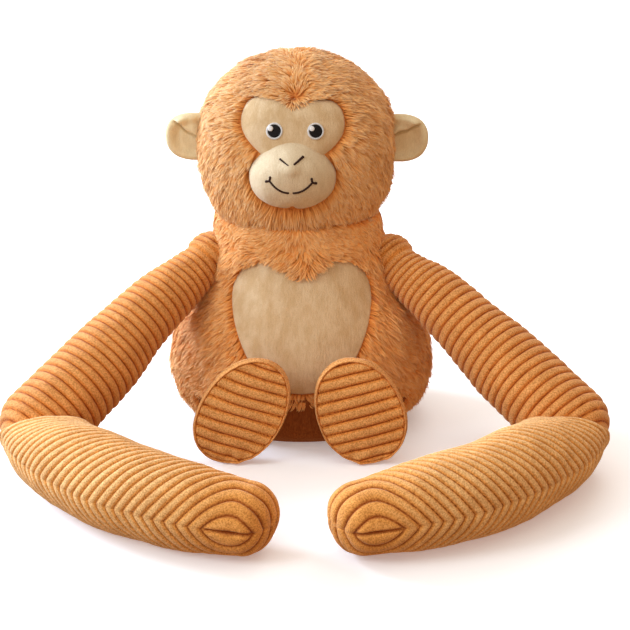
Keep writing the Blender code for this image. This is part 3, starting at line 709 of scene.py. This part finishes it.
def head_flow(local):
    """Combed from the middle parting to the sides, then down, and away from the face on the cheeks."""
    x, y, z = axes(local)
    crown = ease(0.000, 0.05, z)
    front = ease(-0.02, -0.045, y)
    flow = np.zeros_like(local)
    flow[..., 0] = np.tanh(x / 0.014) * (0.35 + 0.85 * crown)
    flow[..., 1] = 0.35 * ease(0.02, 0.06, np.abs(x)) + 0.25 * crown
    flow[..., 2] = -1.0 + 0.62 * crown
    cheek = front * ease(0.05, 0.01, z)
    flow += unit(xyz(x, 0 * x, z - 0.01)) * (0.75 * cheek)[..., None]
    flow[..., 2] += 0.4 * front * bell(z - 0.048, 0.012) * bell(x, 0.012)
    return flow


def build_head_fur(grid):
    rng = np.random.default_rng(11)
    roots, normals = outward_samples(grid, HEAD_HAIRS, rng)
    front = roots[:, 1] < 0
    patch = (beyond(roots, MASK_EDGE, MASK_MIDDLE) < 0.001) & front
    chin = (roots - MUZZLE_CENTRE) / (MUZZLE_HALF + np.array((-0.0005, 0.0, -0.0005)))
    muzzle = (chin[:, 0] ** 2 + chin[:, 2] ** 2 < 1.0) & front
    keep = ~(patch | muzzle | (roots[:, 2] < -0.0655))
    roots, normals = roots[keep], normals[keep]
    parting = (np.abs(roots[:, 0]) < 0.012) & (roots[:, 2] > 0.03) & (roots[:, 1] > -0.03)
    roots = joined(roots, roots[parting] + np.array((0.0004, 0.0005, 0.0)))
    normals = joined(normals, normals[parting])
    edge = beside(roots, MASK_EDGE, MASK_MIDDLE)
    low = ease(-0.03, -0.055, roots[:, 2])
    brow = bell(roots[:, 0], 0.012) * bell(roots[:, 2] - 0.044, 0.012) * (roots[:, 1] < 0)
    length = (0.0112 - 0.0038 * edge + 0.0035 * low) * (1 - 0.35 * brow)
    lift = 0.95 + 0.25 * edge - 0.2 * low
    normals, flow = turn_z(normals, -HEAD_YAW), turn_z(head_flow(roots), -HEAD_YAW)
    fur_coat("head", on_head(roots), normals, flow, length, lift, HEAD_HAIR, seed=21)


def build_mask():
    x, z, share = patch_rings(MASK_EDGE, MASK_MIDDLE, 160, (1.0, 1.03, 1.045))
    sink = 0.0003 + 0.0032 * share**5 + 0 * x
    sink[-1] += 0.003
    grid = xyz(x, head_front(x, z) + sink, z)
    grid[..., 1] += 0.0003 * noise(grid, 0.01, 3)
    piece = skin("eye_mask", on_head(grid), PLUSH)
    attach(piece, "head")
    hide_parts("face_patch")


def build_muzzle():
    polar = np.radians(joined(np.linspace(1.5, 110, 90), [118, 126]))[:, None]
    turns = circle(180)[None, :]
    d = xyz(np.sin(polar) * np.cos(turns), -np.cos(polar) + 0 * turns, np.sin(polar) * np.sin(turns))
    grid = muzzle_point(d)
    grid = swell(grid, 0.00035 * noise(grid, 0.008, 7))
    piece = skin("muzzle", on_head(grid), MUZZLE_PLUSH)
    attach(piece, "head")
    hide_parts("muzzle_cover", "muzzle_stuffing")
    return grid


def on_muzzle(grid, x, z, lift):
    """The muzzle's front at x and z, from a grid of its surface."""
    flat = grid[:80].reshape(-1, 3)
    found = []
    for px, pz in zip(x, z):
        gap = (flat[:, 0] - px) ** 2 + (flat[:, 2] - pz) ** 2
        near = np.argsort(gap)[:6]
        weight = 1 / (gap[near] + 1e-9)
        found.append((px, (flat[near, 1] * weight).sum() / weight.sum() - lift, pz))
    return np.array(found)


def stitched(name, path, radii):
    """Embroidered line: one short rounded stitch after another."""
    steps = run_along(path)
    at = np.linspace(0, steps[-1], max(int(steps[-1] / 0.00012), 12))
    fine = xyz(*(np.interp(at, steps, path[:, k]) for k in range(3)))
    radius = np.interp(at, steps, radii) * (0.72 + 0.28 * np.abs(np.sin(math.pi * at / STITCH)) ** 0.5)
    ends = np.minimum(at, steps[-1] - at) / 0.0006
    radius = radius * np.sqrt(np.clip(ends, 0.06, 1))
    piece = skin(name, on_head(tube(fine, radius)), BROWN)
    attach(piece, "head")
    return piece


def build_mouth(side, sign, muzzle):
    """Half of the smile, with a fork at its end, and a nostril."""
    t = shares(15)
    x = MUZZLE_CENTRE[0] + sign * (0.0012 + 0.0143 * t)
    z = -0.0192 + (0.0084 if sign < 0 else 0.0074) * t**2.2
    smile = stitched(f"{side}_smile_line", on_muzzle(muzzle, x, z, 0.0001), np.full(15, 0.00085))
    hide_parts(f"{side}_smile")
    t = shares(6)
    for label, dx, dz in (("upper", -0.0006, 0.0036), ("outer", 0.0034, -0.001)):
        path = on_muzzle(muzzle, x[-1] + sign * dx * t, z[-1] + dz * t, 0.0001)
        stitched(f"{side}_smile_{label}_fork", path, 0.0008 + 0.00035 * t)
    t = shares(9)
    thick, top, fall = (0.00085, 0.005, 0.0036) if sign < 0 else (0.00115, 0.0066, 0.0048)
    x = MUZZLE_CENTRE[0] + 0.0003 + sign * (0.0088 - 0.007 * t)
    path = on_muzzle(muzzle, x, top - fall * t, 0.0)
    nostril = stitched(f"{side}_nostril_line", path, thick - 0.00035 * t)
    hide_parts(f"{side}_nostril")


def disc(profile, spot, normal, ridges, columns=72):
    """A turned pad facing along normal. ridges(angle, radius) raises the stitches."""
    turns = circle(columns)
    across = unit(np.cross(normal, np.array((0, 0, 1.0))))
    up = np.cross(across, normal)
    rows = []
    for radius, height in profile:
        h = height + ridges(turns, radius) * (height > 0)
        side = across * (radius * np.cos(turns))[:, None] + up * (radius * np.sin(turns))[:, None]
        rows.append(spot + side + normal * h[:, None])
    return np.array(rows)


def dome(radius, height, power, count):
    """Profile of a low rounded pad, from its middle out, as pairs of radius and height."""
    radii = np.linspace(0.0001, radius, count)
    return [(r, height * math.sqrt(max(1 - (r / radius) ** power, 0))) for r in radii]


def round_stitches(turns, radius):
    return 0.0001 * np.cos(turns * 58)


def level_stitches(turns, radius):
    return 0.0001 * np.cos(2 * math.pi * radius * np.sin(turns) / 0.00055)


def build_eye(side, sign):
    x, z = EYES_MIDDLE + sign * EYE_OFFSET[0], EYE_OFFSET[1]
    step = 0.002
    y = head_front(np.array([x, x + step, x]), np.array([z, z, z + step]))
    normal = unit(np.array((y[1] - y[0], -step, y[2] - y[0])) / step)
    spot = np.array((x, y[0] + 0.0004, z))
    profile = dome(0.005, 0.0012, 6, 26) + [(0.0049, -0.0006)]
    pupil = skin(f"{side}_pupil", on_head(disc(profile, spot, normal, level_stitches)), BLACK)
    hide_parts(f"{side}_eye_pupil")
    profile = [(0.0047, 0.0002)]
    for t in shares(14):
        profile.append((0.0048 + 0.0014 * t, 0.0003 + 0.0006 * math.sin(math.pi * (0.12 + 0.88 * t))))
    profile.append((0.0061, -0.0006))
    ring = skin(f"{side}_eye_white", on_head(disc(profile, spot, normal, round_stitches, 232)), WHITE)
    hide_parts(f"{side}_eye_ring")
    lit = spot + np.array((-0.0028, 0, 0.0018)) + normal * 0.0006
    grid = disc(dome(0.002, 0.0011, 4, 12), lit, normal, level_stitches, 40)
    glint = skin(f"{side}_glint", on_head(grid), BRIGHT)
    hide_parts(f"{side}_eye_glint")
    for piece, slot in ((pupil, "black_thread"), (ring, "white_thread"), (glint, "white_thread")):
        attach(piece, "head")


def build_ear(side, sign):
    """A dished ear whose upper inner corner is folded over in a rolled lip."""
    turns = circle(120)[None, :]
    front = joined(np.linspace(0.03, 0.9, 30), [0.94, 0.97, 0.99])
    rho = joined(front, [1.0, 0.99, 0.96, 0.9, 0.8, 0.6, 0.3, 0.05])[:, None]
    is_front = np.arange(len(rho))[:, None] < len(front)
    c, s = np.cos(turns), np.sin(turns)
    u = EAR_HALF[0] * rho * np.sign(c) * np.abs(c) ** 0.86
    w = (EAR_HALF[2] - 0.0006) * rho * np.sign(s) * np.abs(s) ** 0.84 - 0.0006
    bulge = np.sqrt(np.clip(1 - rho**5, 0, 1)) + 0 * turns
    dish = 0.0044 * ease(0.92, 0.5, rho)
    tilt, drop = EAR_FOLD[sign]
    du, dw = u - EAR_HALF[0] + 0.0068, w - EAR_HALF[2] + drop
    off_line = math.cos(tilt) * dw - math.sin(tilt) * du + 0.0006 * np.sin(du * 500)
    along_line = -math.cos(tilt) * du - math.sin(tilt) * dw
    window = ease(-0.003, 0.002, along_line) * ease(0.995, 0.8, rho)
    lip = 0.0052 * ease(-0.0004, 0.0012, off_line) * ease(0.014, 0.002, off_line) * window
    pinch = 0.003 * bell(off_line, 0.0011) * window
    depth = np.where(is_front, -(0.0046 * bulge - dish + lip - pinch), 0.005 * bulge)
    grid = xyz(EAR_CENTRE[0] + u, EAR_CENTRE[1] + depth, EAR_CENTRE[2] + w)
    grid = grid + 0.0005 * swirl(grid, 0.012, 40 + sign)
    grid[..., 0] *= sign
    piece = skin(f"{side}_ear", on_head(grid), EAR_PLUSH, flip=sign < 0)
    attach(piece, "head")
    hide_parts(f"{side}_ear_front", f"{side}_ear_back")


# -------- torso

TORSO_HAIRS, HEM_HAIRS = 140000, 9000
TORSO_HAIR = 0.00066  # width


def seat_height(angle):
    """Height of the seam between fur and seat cloth, at an angle about +Z."""
    z = np.full(np.shape(angle), 0.02)
    for _ in range(30):
        y = torso_point(angle, z)[..., 1]
        z = np.clip(SEAT_FRONT[1] - SEAT_FRONT[2] * (y - SEAT_FRONT[0]), 0.001, 0.06)
    return z


def torso_wall(turns, low, share):
    """The skin under the torso's fur, from the height low to the neck."""
    z = low + (TORSO_TOP - low) * share
    return torso_point(turns, z, -0.0006 - 0.0026 * ease(0.1, 0.06, z))


def build_torso_skin(turns, low):
    share = shares(90)[:, None]
    grid = torso_wall(turns, low, share)
    dip = ease(0.0, 0.02, share)
    grid[..., :2] *= 1 - 0.01 * (1 - dip)[..., None]
    piece = skin("torso_skin", grid, BACKING)
    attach(piece, "torso")
    panels = [f"torso_{layer}_{side}_panel" for layer in ("front", "back") for side in ("left", "right")]
    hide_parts(*panels, "torso_stuffing")


def build_seat(turns, low):
    """The cloth that the toy sits on, gathered a little in the middle at the front. Its dark brown is partly
    its own colour and partly painted shade.
    """
    share = np.array((0.05, 0.4, 0.8, 0.95, 1.0))[:, None]
    base = torso_point(turns, np.zeros_like(turns)) * share[..., None]
    rise = np.linspace(0.04, 1, 40)[:, None]
    wall = torso_point(turns, low * rise + 0.0015 * ease(0.9, 1, rise), -0.0004)
    cloth = joined(base, wall)
    middle = bell(cloth[..., 0] + 0.002, 0.0013) * (cloth[..., 1] < 0)
    pucker = 1 + 0.5 * np.sin(cloth[..., 2] / 0.0011)
    cloth[..., 1] += 0.0016 * middle * pucker * ease(0.0, 0.004, cloth[..., 2])
    folds = 0.0007 * noise(cloth * np.array((1.6, 1, 0.5)), 0.01, 61)
    cloth[..., 1] += folds * ease(0.0, 0.008, cloth[..., 2])
    piece = skin("seat_cloth", cloth, SEAT)
    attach(piece, "torso")
    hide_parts("seat_left_panel", "seat_right_panel")


def build_belly():
    x, z, share = patch_rings(HEART_EDGE, HEART_MIDDLE, 200, (1.0, 1.02, 1.03))
    out = 0.0016 * (1 - share**4) - 0.0004 + 0 * x
    out[-1] -= 0.003
    grid = xyz(x, torso_front(x, z) - out + 0.0008 * ease(0.1, 0.06, z), z)
    grid[..., 1] += 0.0006 * noise(grid, 0.018, 5) * (share < 0.98)
    piece = skin("belly_heart", grid, PLUSH)
    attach(piece, "torso")
    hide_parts("belly_patch")


def torso_flow(p):
    """Combed down, parted in the middle at the front, and ruffled on the chest."""
    x, y, z = axes(p)
    flow = np.zeros_like(p)
    flow[..., 0] = np.tanh(x / 0.007) * (0.75 + 0.5 * ease(0.11, 0.15, z)) * ease(0.02, -0.02, y)
    flow[..., 1] = 0.45 * ease(0.03, 0.08, np.abs(x)) * ease(0.03, -0.04, y)
    flow[..., 2] = -1.0
    chest = ease(0.105, 0.13, z) * ease(-0.02, -0.05, y)
    return flow + (swirl(p, 0.02, 71) * np.array((1, 0.3, 1))) * (0.9 * chest)[..., None]


def build_torso_fur(turns, low):
    low = low * (1 - 0.72 * ease(0.046, 0.064, np.abs(torso_point(turns, low)[..., 0])))
    grid = torso_wall(turns, low, shares(100)[:, None])
    rng = np.random.default_rng(12)
    roots, normals = outward_samples(grid[:99], TORSO_HAIRS, rng)
    heart = (beyond(roots, HEART_EDGE, HEART_MIDDLE) < 0.0006) & (roots[:, 1] < 0)
    hem_roots, hem_normals = outward_samples(grid[84:99], HEM_HAIRS, rng)
    front = (hem_roots[:, 1] < -0.03) & (np.abs(hem_roots[:, 0]) < 0.05)
    roots = joined(roots[~heart], hem_roots[front])
    normals = joined(normals[~heart], hem_normals[front])
    edge = beside(roots, HEART_EDGE, HEART_MIDDLE)
    top = ease(0.14, 0.158, roots[:, 2])
    hem = ease(0.03, 0.006, roots[:, 2])
    lap = ease(0.038, 0.03, roots[:, 2]) * (roots[:, 1] < -0.05)
    length = 0.012 - 0.005 * edge - 0.004 * top - np.maximum(0.0055 * hem, 0.0072 * lap)
    lift = 0.92 + 0.1 * edge - 0.25 * top - np.maximum(0.35 * hem, 0.55 * lap)
    fur_coat("torso", roots, normals, torso_flow(roots), length, lift, TORSO_HAIR, seed=33)


# -------- arms


def ribs(phase):
    """Height from 0 in a groove to 1 on top of a rib, and a painted shade from 0 in the groove to 1 away from
    it.
    """
    off = np.abs(2 * (phase - np.floor(phase)) - 1)
    return np.sqrt(1 - np.minimum(off, 0.985) ** 2.6), 1 - off**3


def rings_about(centre, along, half_side, half_up, turns):
    side = unit(np.cross(along, np.array((0, 0, 1.0))))
    up = np.cross(side, along)
    wide = side[:, None] * (half_side[:, None] * np.cos(turns)[None, :])[..., None]
    return centre[:, None] + wide + up[:, None] * (half_up[:, None] * np.sin(turns)[None, :])[..., None]


def upper_arm_grid(turns):
    """Rings from the ball at the shoulder to the cap at the elbow, and how far along each lies."""
    length = np.linalg.norm(ELBOW - SHOULDER)
    along = (ELBOW - SHOULDER) / length
    ball = np.radians(np.linspace(168, 50, 24))
    back, ball_radius = SHOULDER_BALL * np.cos(ball), SHOULDER_BALL * np.sin(ball)
    distance = np.arange(0.011, length, 0.00065)
    radius = spline(UPPER_ARM[:, 0], UPPER_ARM[:, 1], distance)
    cap = np.radians(np.linspace(2, 86, 44))
    distance = joined(back[back < 0.0105], distance, length + radius[-1] * np.sin(cap))
    radius = joined(ball_radius[back < 0.0105], radius, radius[-1] * np.cos(cap))
    centre = SHOULDER + along * distance[:, None]
    return rings_about(centre, np.tile(along, (len(distance), 1)), radius, radius, turns), distance


def build_upper_sleeve(side, sign, seed):
    turns = circle(128)
    grid, distance = upper_arm_grid(turns)
    near = ease(0.06, 0.0, distance)[:, None]
    thin = (ease(0.0, 0.03, distance) * ease(0.13, 0.08, distance))[:, None]
    grid = swell(grid, -0.0016 * thin)
    grid[..., 0] += 0.0024 * thin if sign < 0 else -0.002 * near
    grid[..., 2] -= SHOULDER_DROP[sign] * near
    slant = ease(0.09, 0.18, distance)[:, None] * 0.45 * np.cos(turns - 0.6)[None, :]
    pitch = RIB * (0.72 + 0.28 * ease(0.0, 0.075, distance))
    phase = np.cumsum(np.gradient(distance) / pitch)[:, None] + slant + 0.16 * noise(grid, 0.03, seed)
    crown, shade = ribs(phase)
    full = ease(-0.02, -0.008, distance)[:, None]
    soft = 0.0008 * noise(grid, 0.028, seed + 1) + 0.0003 * noise(grid, 0.009, seed + 2)
    grid = swell(grid, RIB_HEIGHT * (crown - 0.75) * full + soft)
    grid[..., 0] = sign * grid[..., 0] + ARM_SHIFT * ease(0.0, 0.19, distance)[:, None]
    piece = skin(f"{side}_upper_sleeve", grid, SHADED_CORDUROY, shade, flip=sign < 0)
    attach(piece, f"{side}_upper_arm")
    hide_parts(f"{side}_upper_arm_sleeve", f"{side}_upper_arm_stuffing")


def under_cuff(grid, path_height):
    """Flattens the top of the forearm by the elbow, and tucks its ball under the end of the upper sleeve."""
    away = grid - ELBOW
    ahead = away @ unit(FOLD_NORMAL) - FOLD_AHEAD
    run = np.linalg.norm(away[..., :2], axis=-1)
    above = np.maximum(grid[..., 2] - path_height, 0)
    grid = grid.copy()
    grid[..., 2] -= above * 0.34 * ease(0.1, 0.03, run)
    away = grid - ELBOW
    far = np.linalg.norm(away, axis=-1)
    inside = np.minimum(far, FOREARM[0, 1] - 0.003)
    lip = far + 0.0012 * bell(ahead - 0.004, 0.0035)
    share = ease(-0.0008, 0.0016, ahead)
    target = inside * (1 - share) + lip * share
    target = np.where(far < 0.062, target, far)
    return ELBOW + away * (target / np.maximum(far, 1e-6))[..., None]


def forearm_grid(turns):
    """Rings from the ball at the elbow to the rounded hand."""
    t = shares(400)[:, None]
    a, b, c, d = FOREARM_PATH
    path = a * (1 - t) ** 3 + 3 * b * (1 - t) ** 2 * t + 3 * c * (1 - t) * t**2 + d * t**3
    along = unit(3 * (1 - t) ** 2 * (b - a) + 6 * (1 - t) * t * (c - b) + 3 * t**2 * (d - c))
    run = run_along(path)
    at = np.arange(0, run[-1], 0.00072)
    centre = xyz(*(np.interp(at, run, path[:, k]) for k in range(3)))
    heading = unit(xyz(*(np.interp(at, run, along[:, k]) for k in range(3))))
    size = spline(FOREARM[:, 0], FOREARM[:, 1:], np.interp(at, run, t[:, 0]))
    side, up = size[:, 0], size[:, 1]
    back = np.radians(np.linspace(172, 94, 34))
    ball = FOREARM[0, 1]
    first = np.tile(heading[0], (len(back), 1))
    start = path[0] + first * (ball * np.cos(back))[:, None]
    tip = np.radians(np.linspace(2, 87, 34))
    last = np.stack([turn_z(heading[-1], HAND_TURN * sine) for sine in np.sin(tip)])
    cap = path[-1] + last * (HAND_CAP * np.sin(tip))[:, None]
    shrink = np.cos(tip) ** 0.8
    centre = joined(start, centre, cap)
    heading = joined(first, heading, last)
    side = joined(ball * np.sin(back), side, side[-1] * shrink)
    up = joined(ball * np.sin(back), up, up[-1] * shrink)
    grid = rings_about(centre, heading, side, up, turns)
    return under_cuff(grid, centre[:, None, 2])


def build_lower_sleeve(side, sign, seed):
    """Ribs that run across the forearm and close round an eye at the hand, on either side of a seam."""
    turns = circle(200)
    grid = forearm_grid(turns)
    normal = grid_normals(grid)
    middle = len(turns) // 2
    seam = run_along(grid[:, middle])
    half = len(seam) // 2
    centre = half + np.abs(grid[half:, middle, 0] - HAND_EYE).argmin()
    x = (seam[centre] - seam)[:, None]
    step = np.linalg.norm(np.diff(grid, axis=1), axis=2)
    p = np.zeros(grid.shape[:2])
    p[:, middle + 1 :] = np.cumsum(step[:, middle:], axis=1)
    p[:, :middle] = np.cumsum(step[:, middle - 1 :: -1], axis=1)[:, ::-1]
    lens = np.sqrt(x**2 + 0.02**2) - 0.02
    crown, shade = ribs((0.62 * p + lens) / RIB + 0.1 * noise(grid, 0.026, seed + 3))
    along = seam[:, None] / seam[-1]
    # Painted shade: darker towards the hand.
    shade = shade * (1 - 0.4 * ease(0.7, 0.95, along))
    kink = bell(p, 0.001) * ease(0.1, 0.25, along)
    eye = bell(p, 0.0012) * ease(0.0185, 0.015, np.abs(x))
    crown, shade = crown * (1 - 0.8 * eye), shade * (1 - 0.9 * eye)
    room = 0.001 * noise(grid, 0.03, seed + 4) + 0.0004 * noise(grid, 0.01, seed + 5)
    height = RIB_HEIGHT * (crown - 0.85) - 0.0005 * kink - 0.0008 * eye - 0.0012 * ease(0.6, 1, along)
    grid = grid + normal * (height + room)[..., None]
    grid[..., 2] = np.maximum(grid[..., 2], 0.0002)
    grid[..., 0] = sign * grid[..., 0] + ARM_SHIFT
    piece = skin(f"{side}_lower_sleeve", grid, LIT_CORDUROY, shade, flip=sign < 0)
    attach(piece, f"{side}_forearm")
    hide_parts(f"{side}_forearm_sleeve", f"{side}_forearm_stuffing")


# -------- feet


def foot_ring(sign, distance, half_width, half_height, share, turns):
    """A cross-section of a foot, whose top leans in. share says how far it has the shape of the sole."""
    roundness = np.minimum(share * 1.25, 1.0)
    x = half_width * np.sin(turns) * (1 - 0.05 * np.cos(turns) * roundness) * 1.004
    x = x * (1 + 0.08 * roundness * np.cos(turns) ** 2)
    z = half_height * np.cos(turns)
    c, s = math.cos(-FOOT_LEAN[sign] * sign), math.sin(-FOOT_LEAN[sign] * sign)
    lean_x, lean_z = c * x + s * z, -s * x + c * z
    lean_x = lean_x - sign * TOE_SHIFT[sign] * roundness * lean_z
    hip = HIP * np.array((sign, 1, 1))
    return xyz(lean_x, 0 * x - distance, lean_z + FOOT_RISE * share) + hip


def build_foot(side, sign, seed):
    turns = circle(160)
    rows = []
    for k in range(16):
        half = 0.004 + 0.011 * math.sin(k / 16 * math.pi / 2)
        rows.append(foot_ring(sign, -0.015 + 0.0006 * k, half, half, 0.0, turns))
    back = np.linspace(-0.004, FOOT[0, 0], 8)[:-1]
    distance = joined(back, np.linspace(FOOT[0, 0], 0.0412, 44))
    sizes = spline(FOOT[:, 0], FOOT[:, 1:], distance)
    for d, (half_width, half_height, share) in zip(distance, sizes):
        rows.append(foot_ring(sign, d, half_width - 0.0006, half_height - 0.0006, share, turns))
    grid = np.array(rows)
    run = -(grid[..., 1] - HIP[1])
    crown, shade = ribs(run / RIB + 0.2 * noise(grid, 0.02, seed))
    height = 0.0016 * (crown - 0.7) + 0.0005 * noise(grid, 0.012, seed + 1)
    grid = swell(grid, height)
    grid[..., 2] = np.maximum(grid[..., 2], LOWEST)
    piece = skin(f"{side}_foot", grid, CORDUROY, shade)
    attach(piece, f"{side}_leg")
    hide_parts(f"{side}_foot_cover", f"{side}_foot_stuffing")


def build_sole(side, sign, seed):
    """Slanting ribs inside a gathered welt."""
    turns = circle(160)
    rho = joined(np.linspace(0.02, 0.86, 60), np.linspace(0.87, 1.0, 16))[:, None]
    base = np.array([foot_ring(sign, 0.044, 0.0326 * r, 0.0413 * r, 1.0, turns) for r in rho[:, 0]])
    middle = base[0].mean(axis=0)
    x, z = base[..., 0] - middle[0], base[..., 2] - middle[2]
    slope = sign * (0.28 if sign > 0 else 0.33)
    crown, shade = ribs((z - slope * x) / SOLE_RIB + 0.35 + 0.1 * noise(base, 0.02, seed + 3))
    inner = ease(0.955, 0.935, rho) + 0 * x
    crown = crown * inner + (1 - inner) * 0.75
    shade = shade * inner + (1 - inner) * 0.8
    welt = bell(rho - 0.975, 0.018)
    groove = bell(rho - 0.942, 0.01)
    pucker = np.cos(turns * 46 + 2 * noise(base, 0.01, seed + 4)) * bell(rho - 0.94, 0.04)
    bottom = ease(-0.024, -0.038, z)
    out = 0.0022 * (1 - rho**2) + 0.0026 * (crown - 0.7) * inner + 0.001 * welt - 0.0008 * groove
    out = out + 0.00045 * pucker + 0.0022 * bottom * noise(base * np.array((1.4, 1, 0.8)), 0.0075, seed + 5)
    out = out - 0.003 * ease(0.975, 1.0, rho)
    face = base - np.array((0, 1, 0)) * out[..., None]
    edge = [foot_ring(sign, d, 0.0328, 0.0415, 1.0, turns) for d in (0.0405, 0.0395)]
    edge.append(foot_ring(sign, 0.04, 0.0308, 0.039, 1.0, turns))
    sole = joined(face, np.array(edge))
    sole[..., 2] = np.maximum(sole[..., 2], LOWEST)
    # Painted shade: darker in the groove inside the welt and on the rows of the rim.
    shade = joined(shade * (1 - 0.45 * groove), np.full((3, len(turns)), 0.6))
    piece = skin(f"{side}_sole_pad", sole, CORDUROY, shade)
    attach(piece, f"{side}_leg")
    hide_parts(f"{side}_sole")


# -------- what stays from the model


def repaint_inside():
    for name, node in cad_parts.items():
        if name.endswith("_pad") or name == "neck_stuffing":
            paint = BACKING
        elif name == "bean_pouch":
            paint = COTTON
        else:
            continue
        for slot in node.material_slots:
            slot.material = paint


# -------- floor, light and camera

CAMERA_AT = (0.0101, -1.537, 0.5773)
CAMERA_ELEVATION = 18
CAMERA_LENS = 117.97


def build_floor():
    """A pale sweep that glows a little and throws no light back up."""
    material, tree, shader = new_material("studio_floor", 0.9, 0.0, specular=0.0)
    tone = ramp(tree, grain(tree, 0.25), (0.3, (0.93, 0.93, 0.93)), (0.7, (0.95, 0.95, 0.95)))
    feed(tree, shader, {"Base Color": tone, "Emission Color": (1, 1, 1, 1), "Emission Strength": 0.22})
    corners = table((-6, -6, 0), (6, -6, 0), (6, 6, 0), (-6, 6, 0))
    floor = mesh_piece("floor", corners, [np.array([[0, 1, 2, 3]])], material)
    floor.visible_diffuse = False
    floor.visible_glossy = False


def area_light(name, location, target, size, power, colour=(1, 1, 1)):
    light = bpy.data.lights.new(name, "AREA")
    light.shape, light.size, light.energy, light.color = "DISK", size, power, colour
    lamp = new_object(name, light)
    lamp.location = location
    lamp.rotation_euler = (Vector(target) - Vector(location)).to_track_quat("-Z", "Y").to_euler()


def build_world():
    """Soft light from all round: brightest from the left and above, warm and dim from below."""
    world = bpy.data.worlds.new("studio")
    world.use_nodes = True
    tree = world.node_tree
    where = add(tree, "ShaderNodeTexCoord", {}).outputs["Generated"]
    parts = add(tree, "ShaderNodeSeparateXYZ", {0: where})
    height = math_node(tree, "MULTIPLY_ADD", parts.outputs["Z"], 0.5, 0.5)
    side = math_node(tree, "MULTIPLY_ADD", parts.outputs["X"], -0.5, 0.5)
    below, above, level = (0.3, (0.3, 0.165, 0.08)), (1.0, (0.8, 0.79, 0.77)), (0.52, (0.66, 0.6, 0.54))
    right, left, middle = (0.0, (0.68, 0.52, 0.38)), (1.0, (0.92, 1.04, 1.22)), (0.5, (0.83, 0.77, 0.71))
    light = multiply(tree, ramp(tree, height, below, above, level), ramp(tree, side, right, left, middle))
    feed(tree, tree.nodes["Background"], {"Color": light, "Strength": 1.4})
    bpy.context.scene.world = world


def build_studio():
    build_world()
    area_light("key", (-1.6, -1.0, 1.1), (0, -0.05, 0.12), 0.9, 15, (0.92, 1.0, 1.08))
    area_light("side", (-1.6, 0.75, 0.75), (0, 0, 0.12), 0.8, 44, (0.88, 1.04, 1.28))
    area_light("back", (0.5, 1.6, 1.4), (0, 0, 0.1), 1.2, 12, (0.98, 1.0, 1.06))

    camera = bpy.data.cameras.new("camera")
    camera.sensor_width = 36
    camera.lens = CAMERA_LENS
    camera.clip_end = 50
    holder = new_object("camera", camera)
    holder.location = CAMERA_AT
    holder.rotation_euler = (math.radians(90 - CAMERA_ELEVATION), 0, 0)
    bpy.context.scene.camera = holder
    bpy.context.scene.view_settings.view_transform = "Standard"


def build_monkey():
    head = build_head_skin()
    build_mask()
    muzzle = build_muzzle()
    for side, sign in SIDES:
        build_mouth(side, sign, muzzle)
    for side, sign in SIDES:
        build_eye(side, sign)
    for side, sign in SIDES:
        build_ear(side, sign)
    turns = circle(180)[None, :]
    low = seat_height(turns)
    build_torso_skin(turns, low)
    build_seat(turns, low)
    build_belly()
    for (side, sign), seed in zip(SIDES, (80, 90)):
        build_upper_sleeve(side, sign, seed)
        build_lower_sleeve(side, sign, seed)
    for (side, sign), seed in zip(SIDES, (120, 130)):
        build_foot(side, sign, seed)
        build_sole(side, sign, seed)
    repaint_inside()
    build_head_fur(head)
    build_torso_fur(turns, low)


build_floor()
build_studio()
build_monkey()
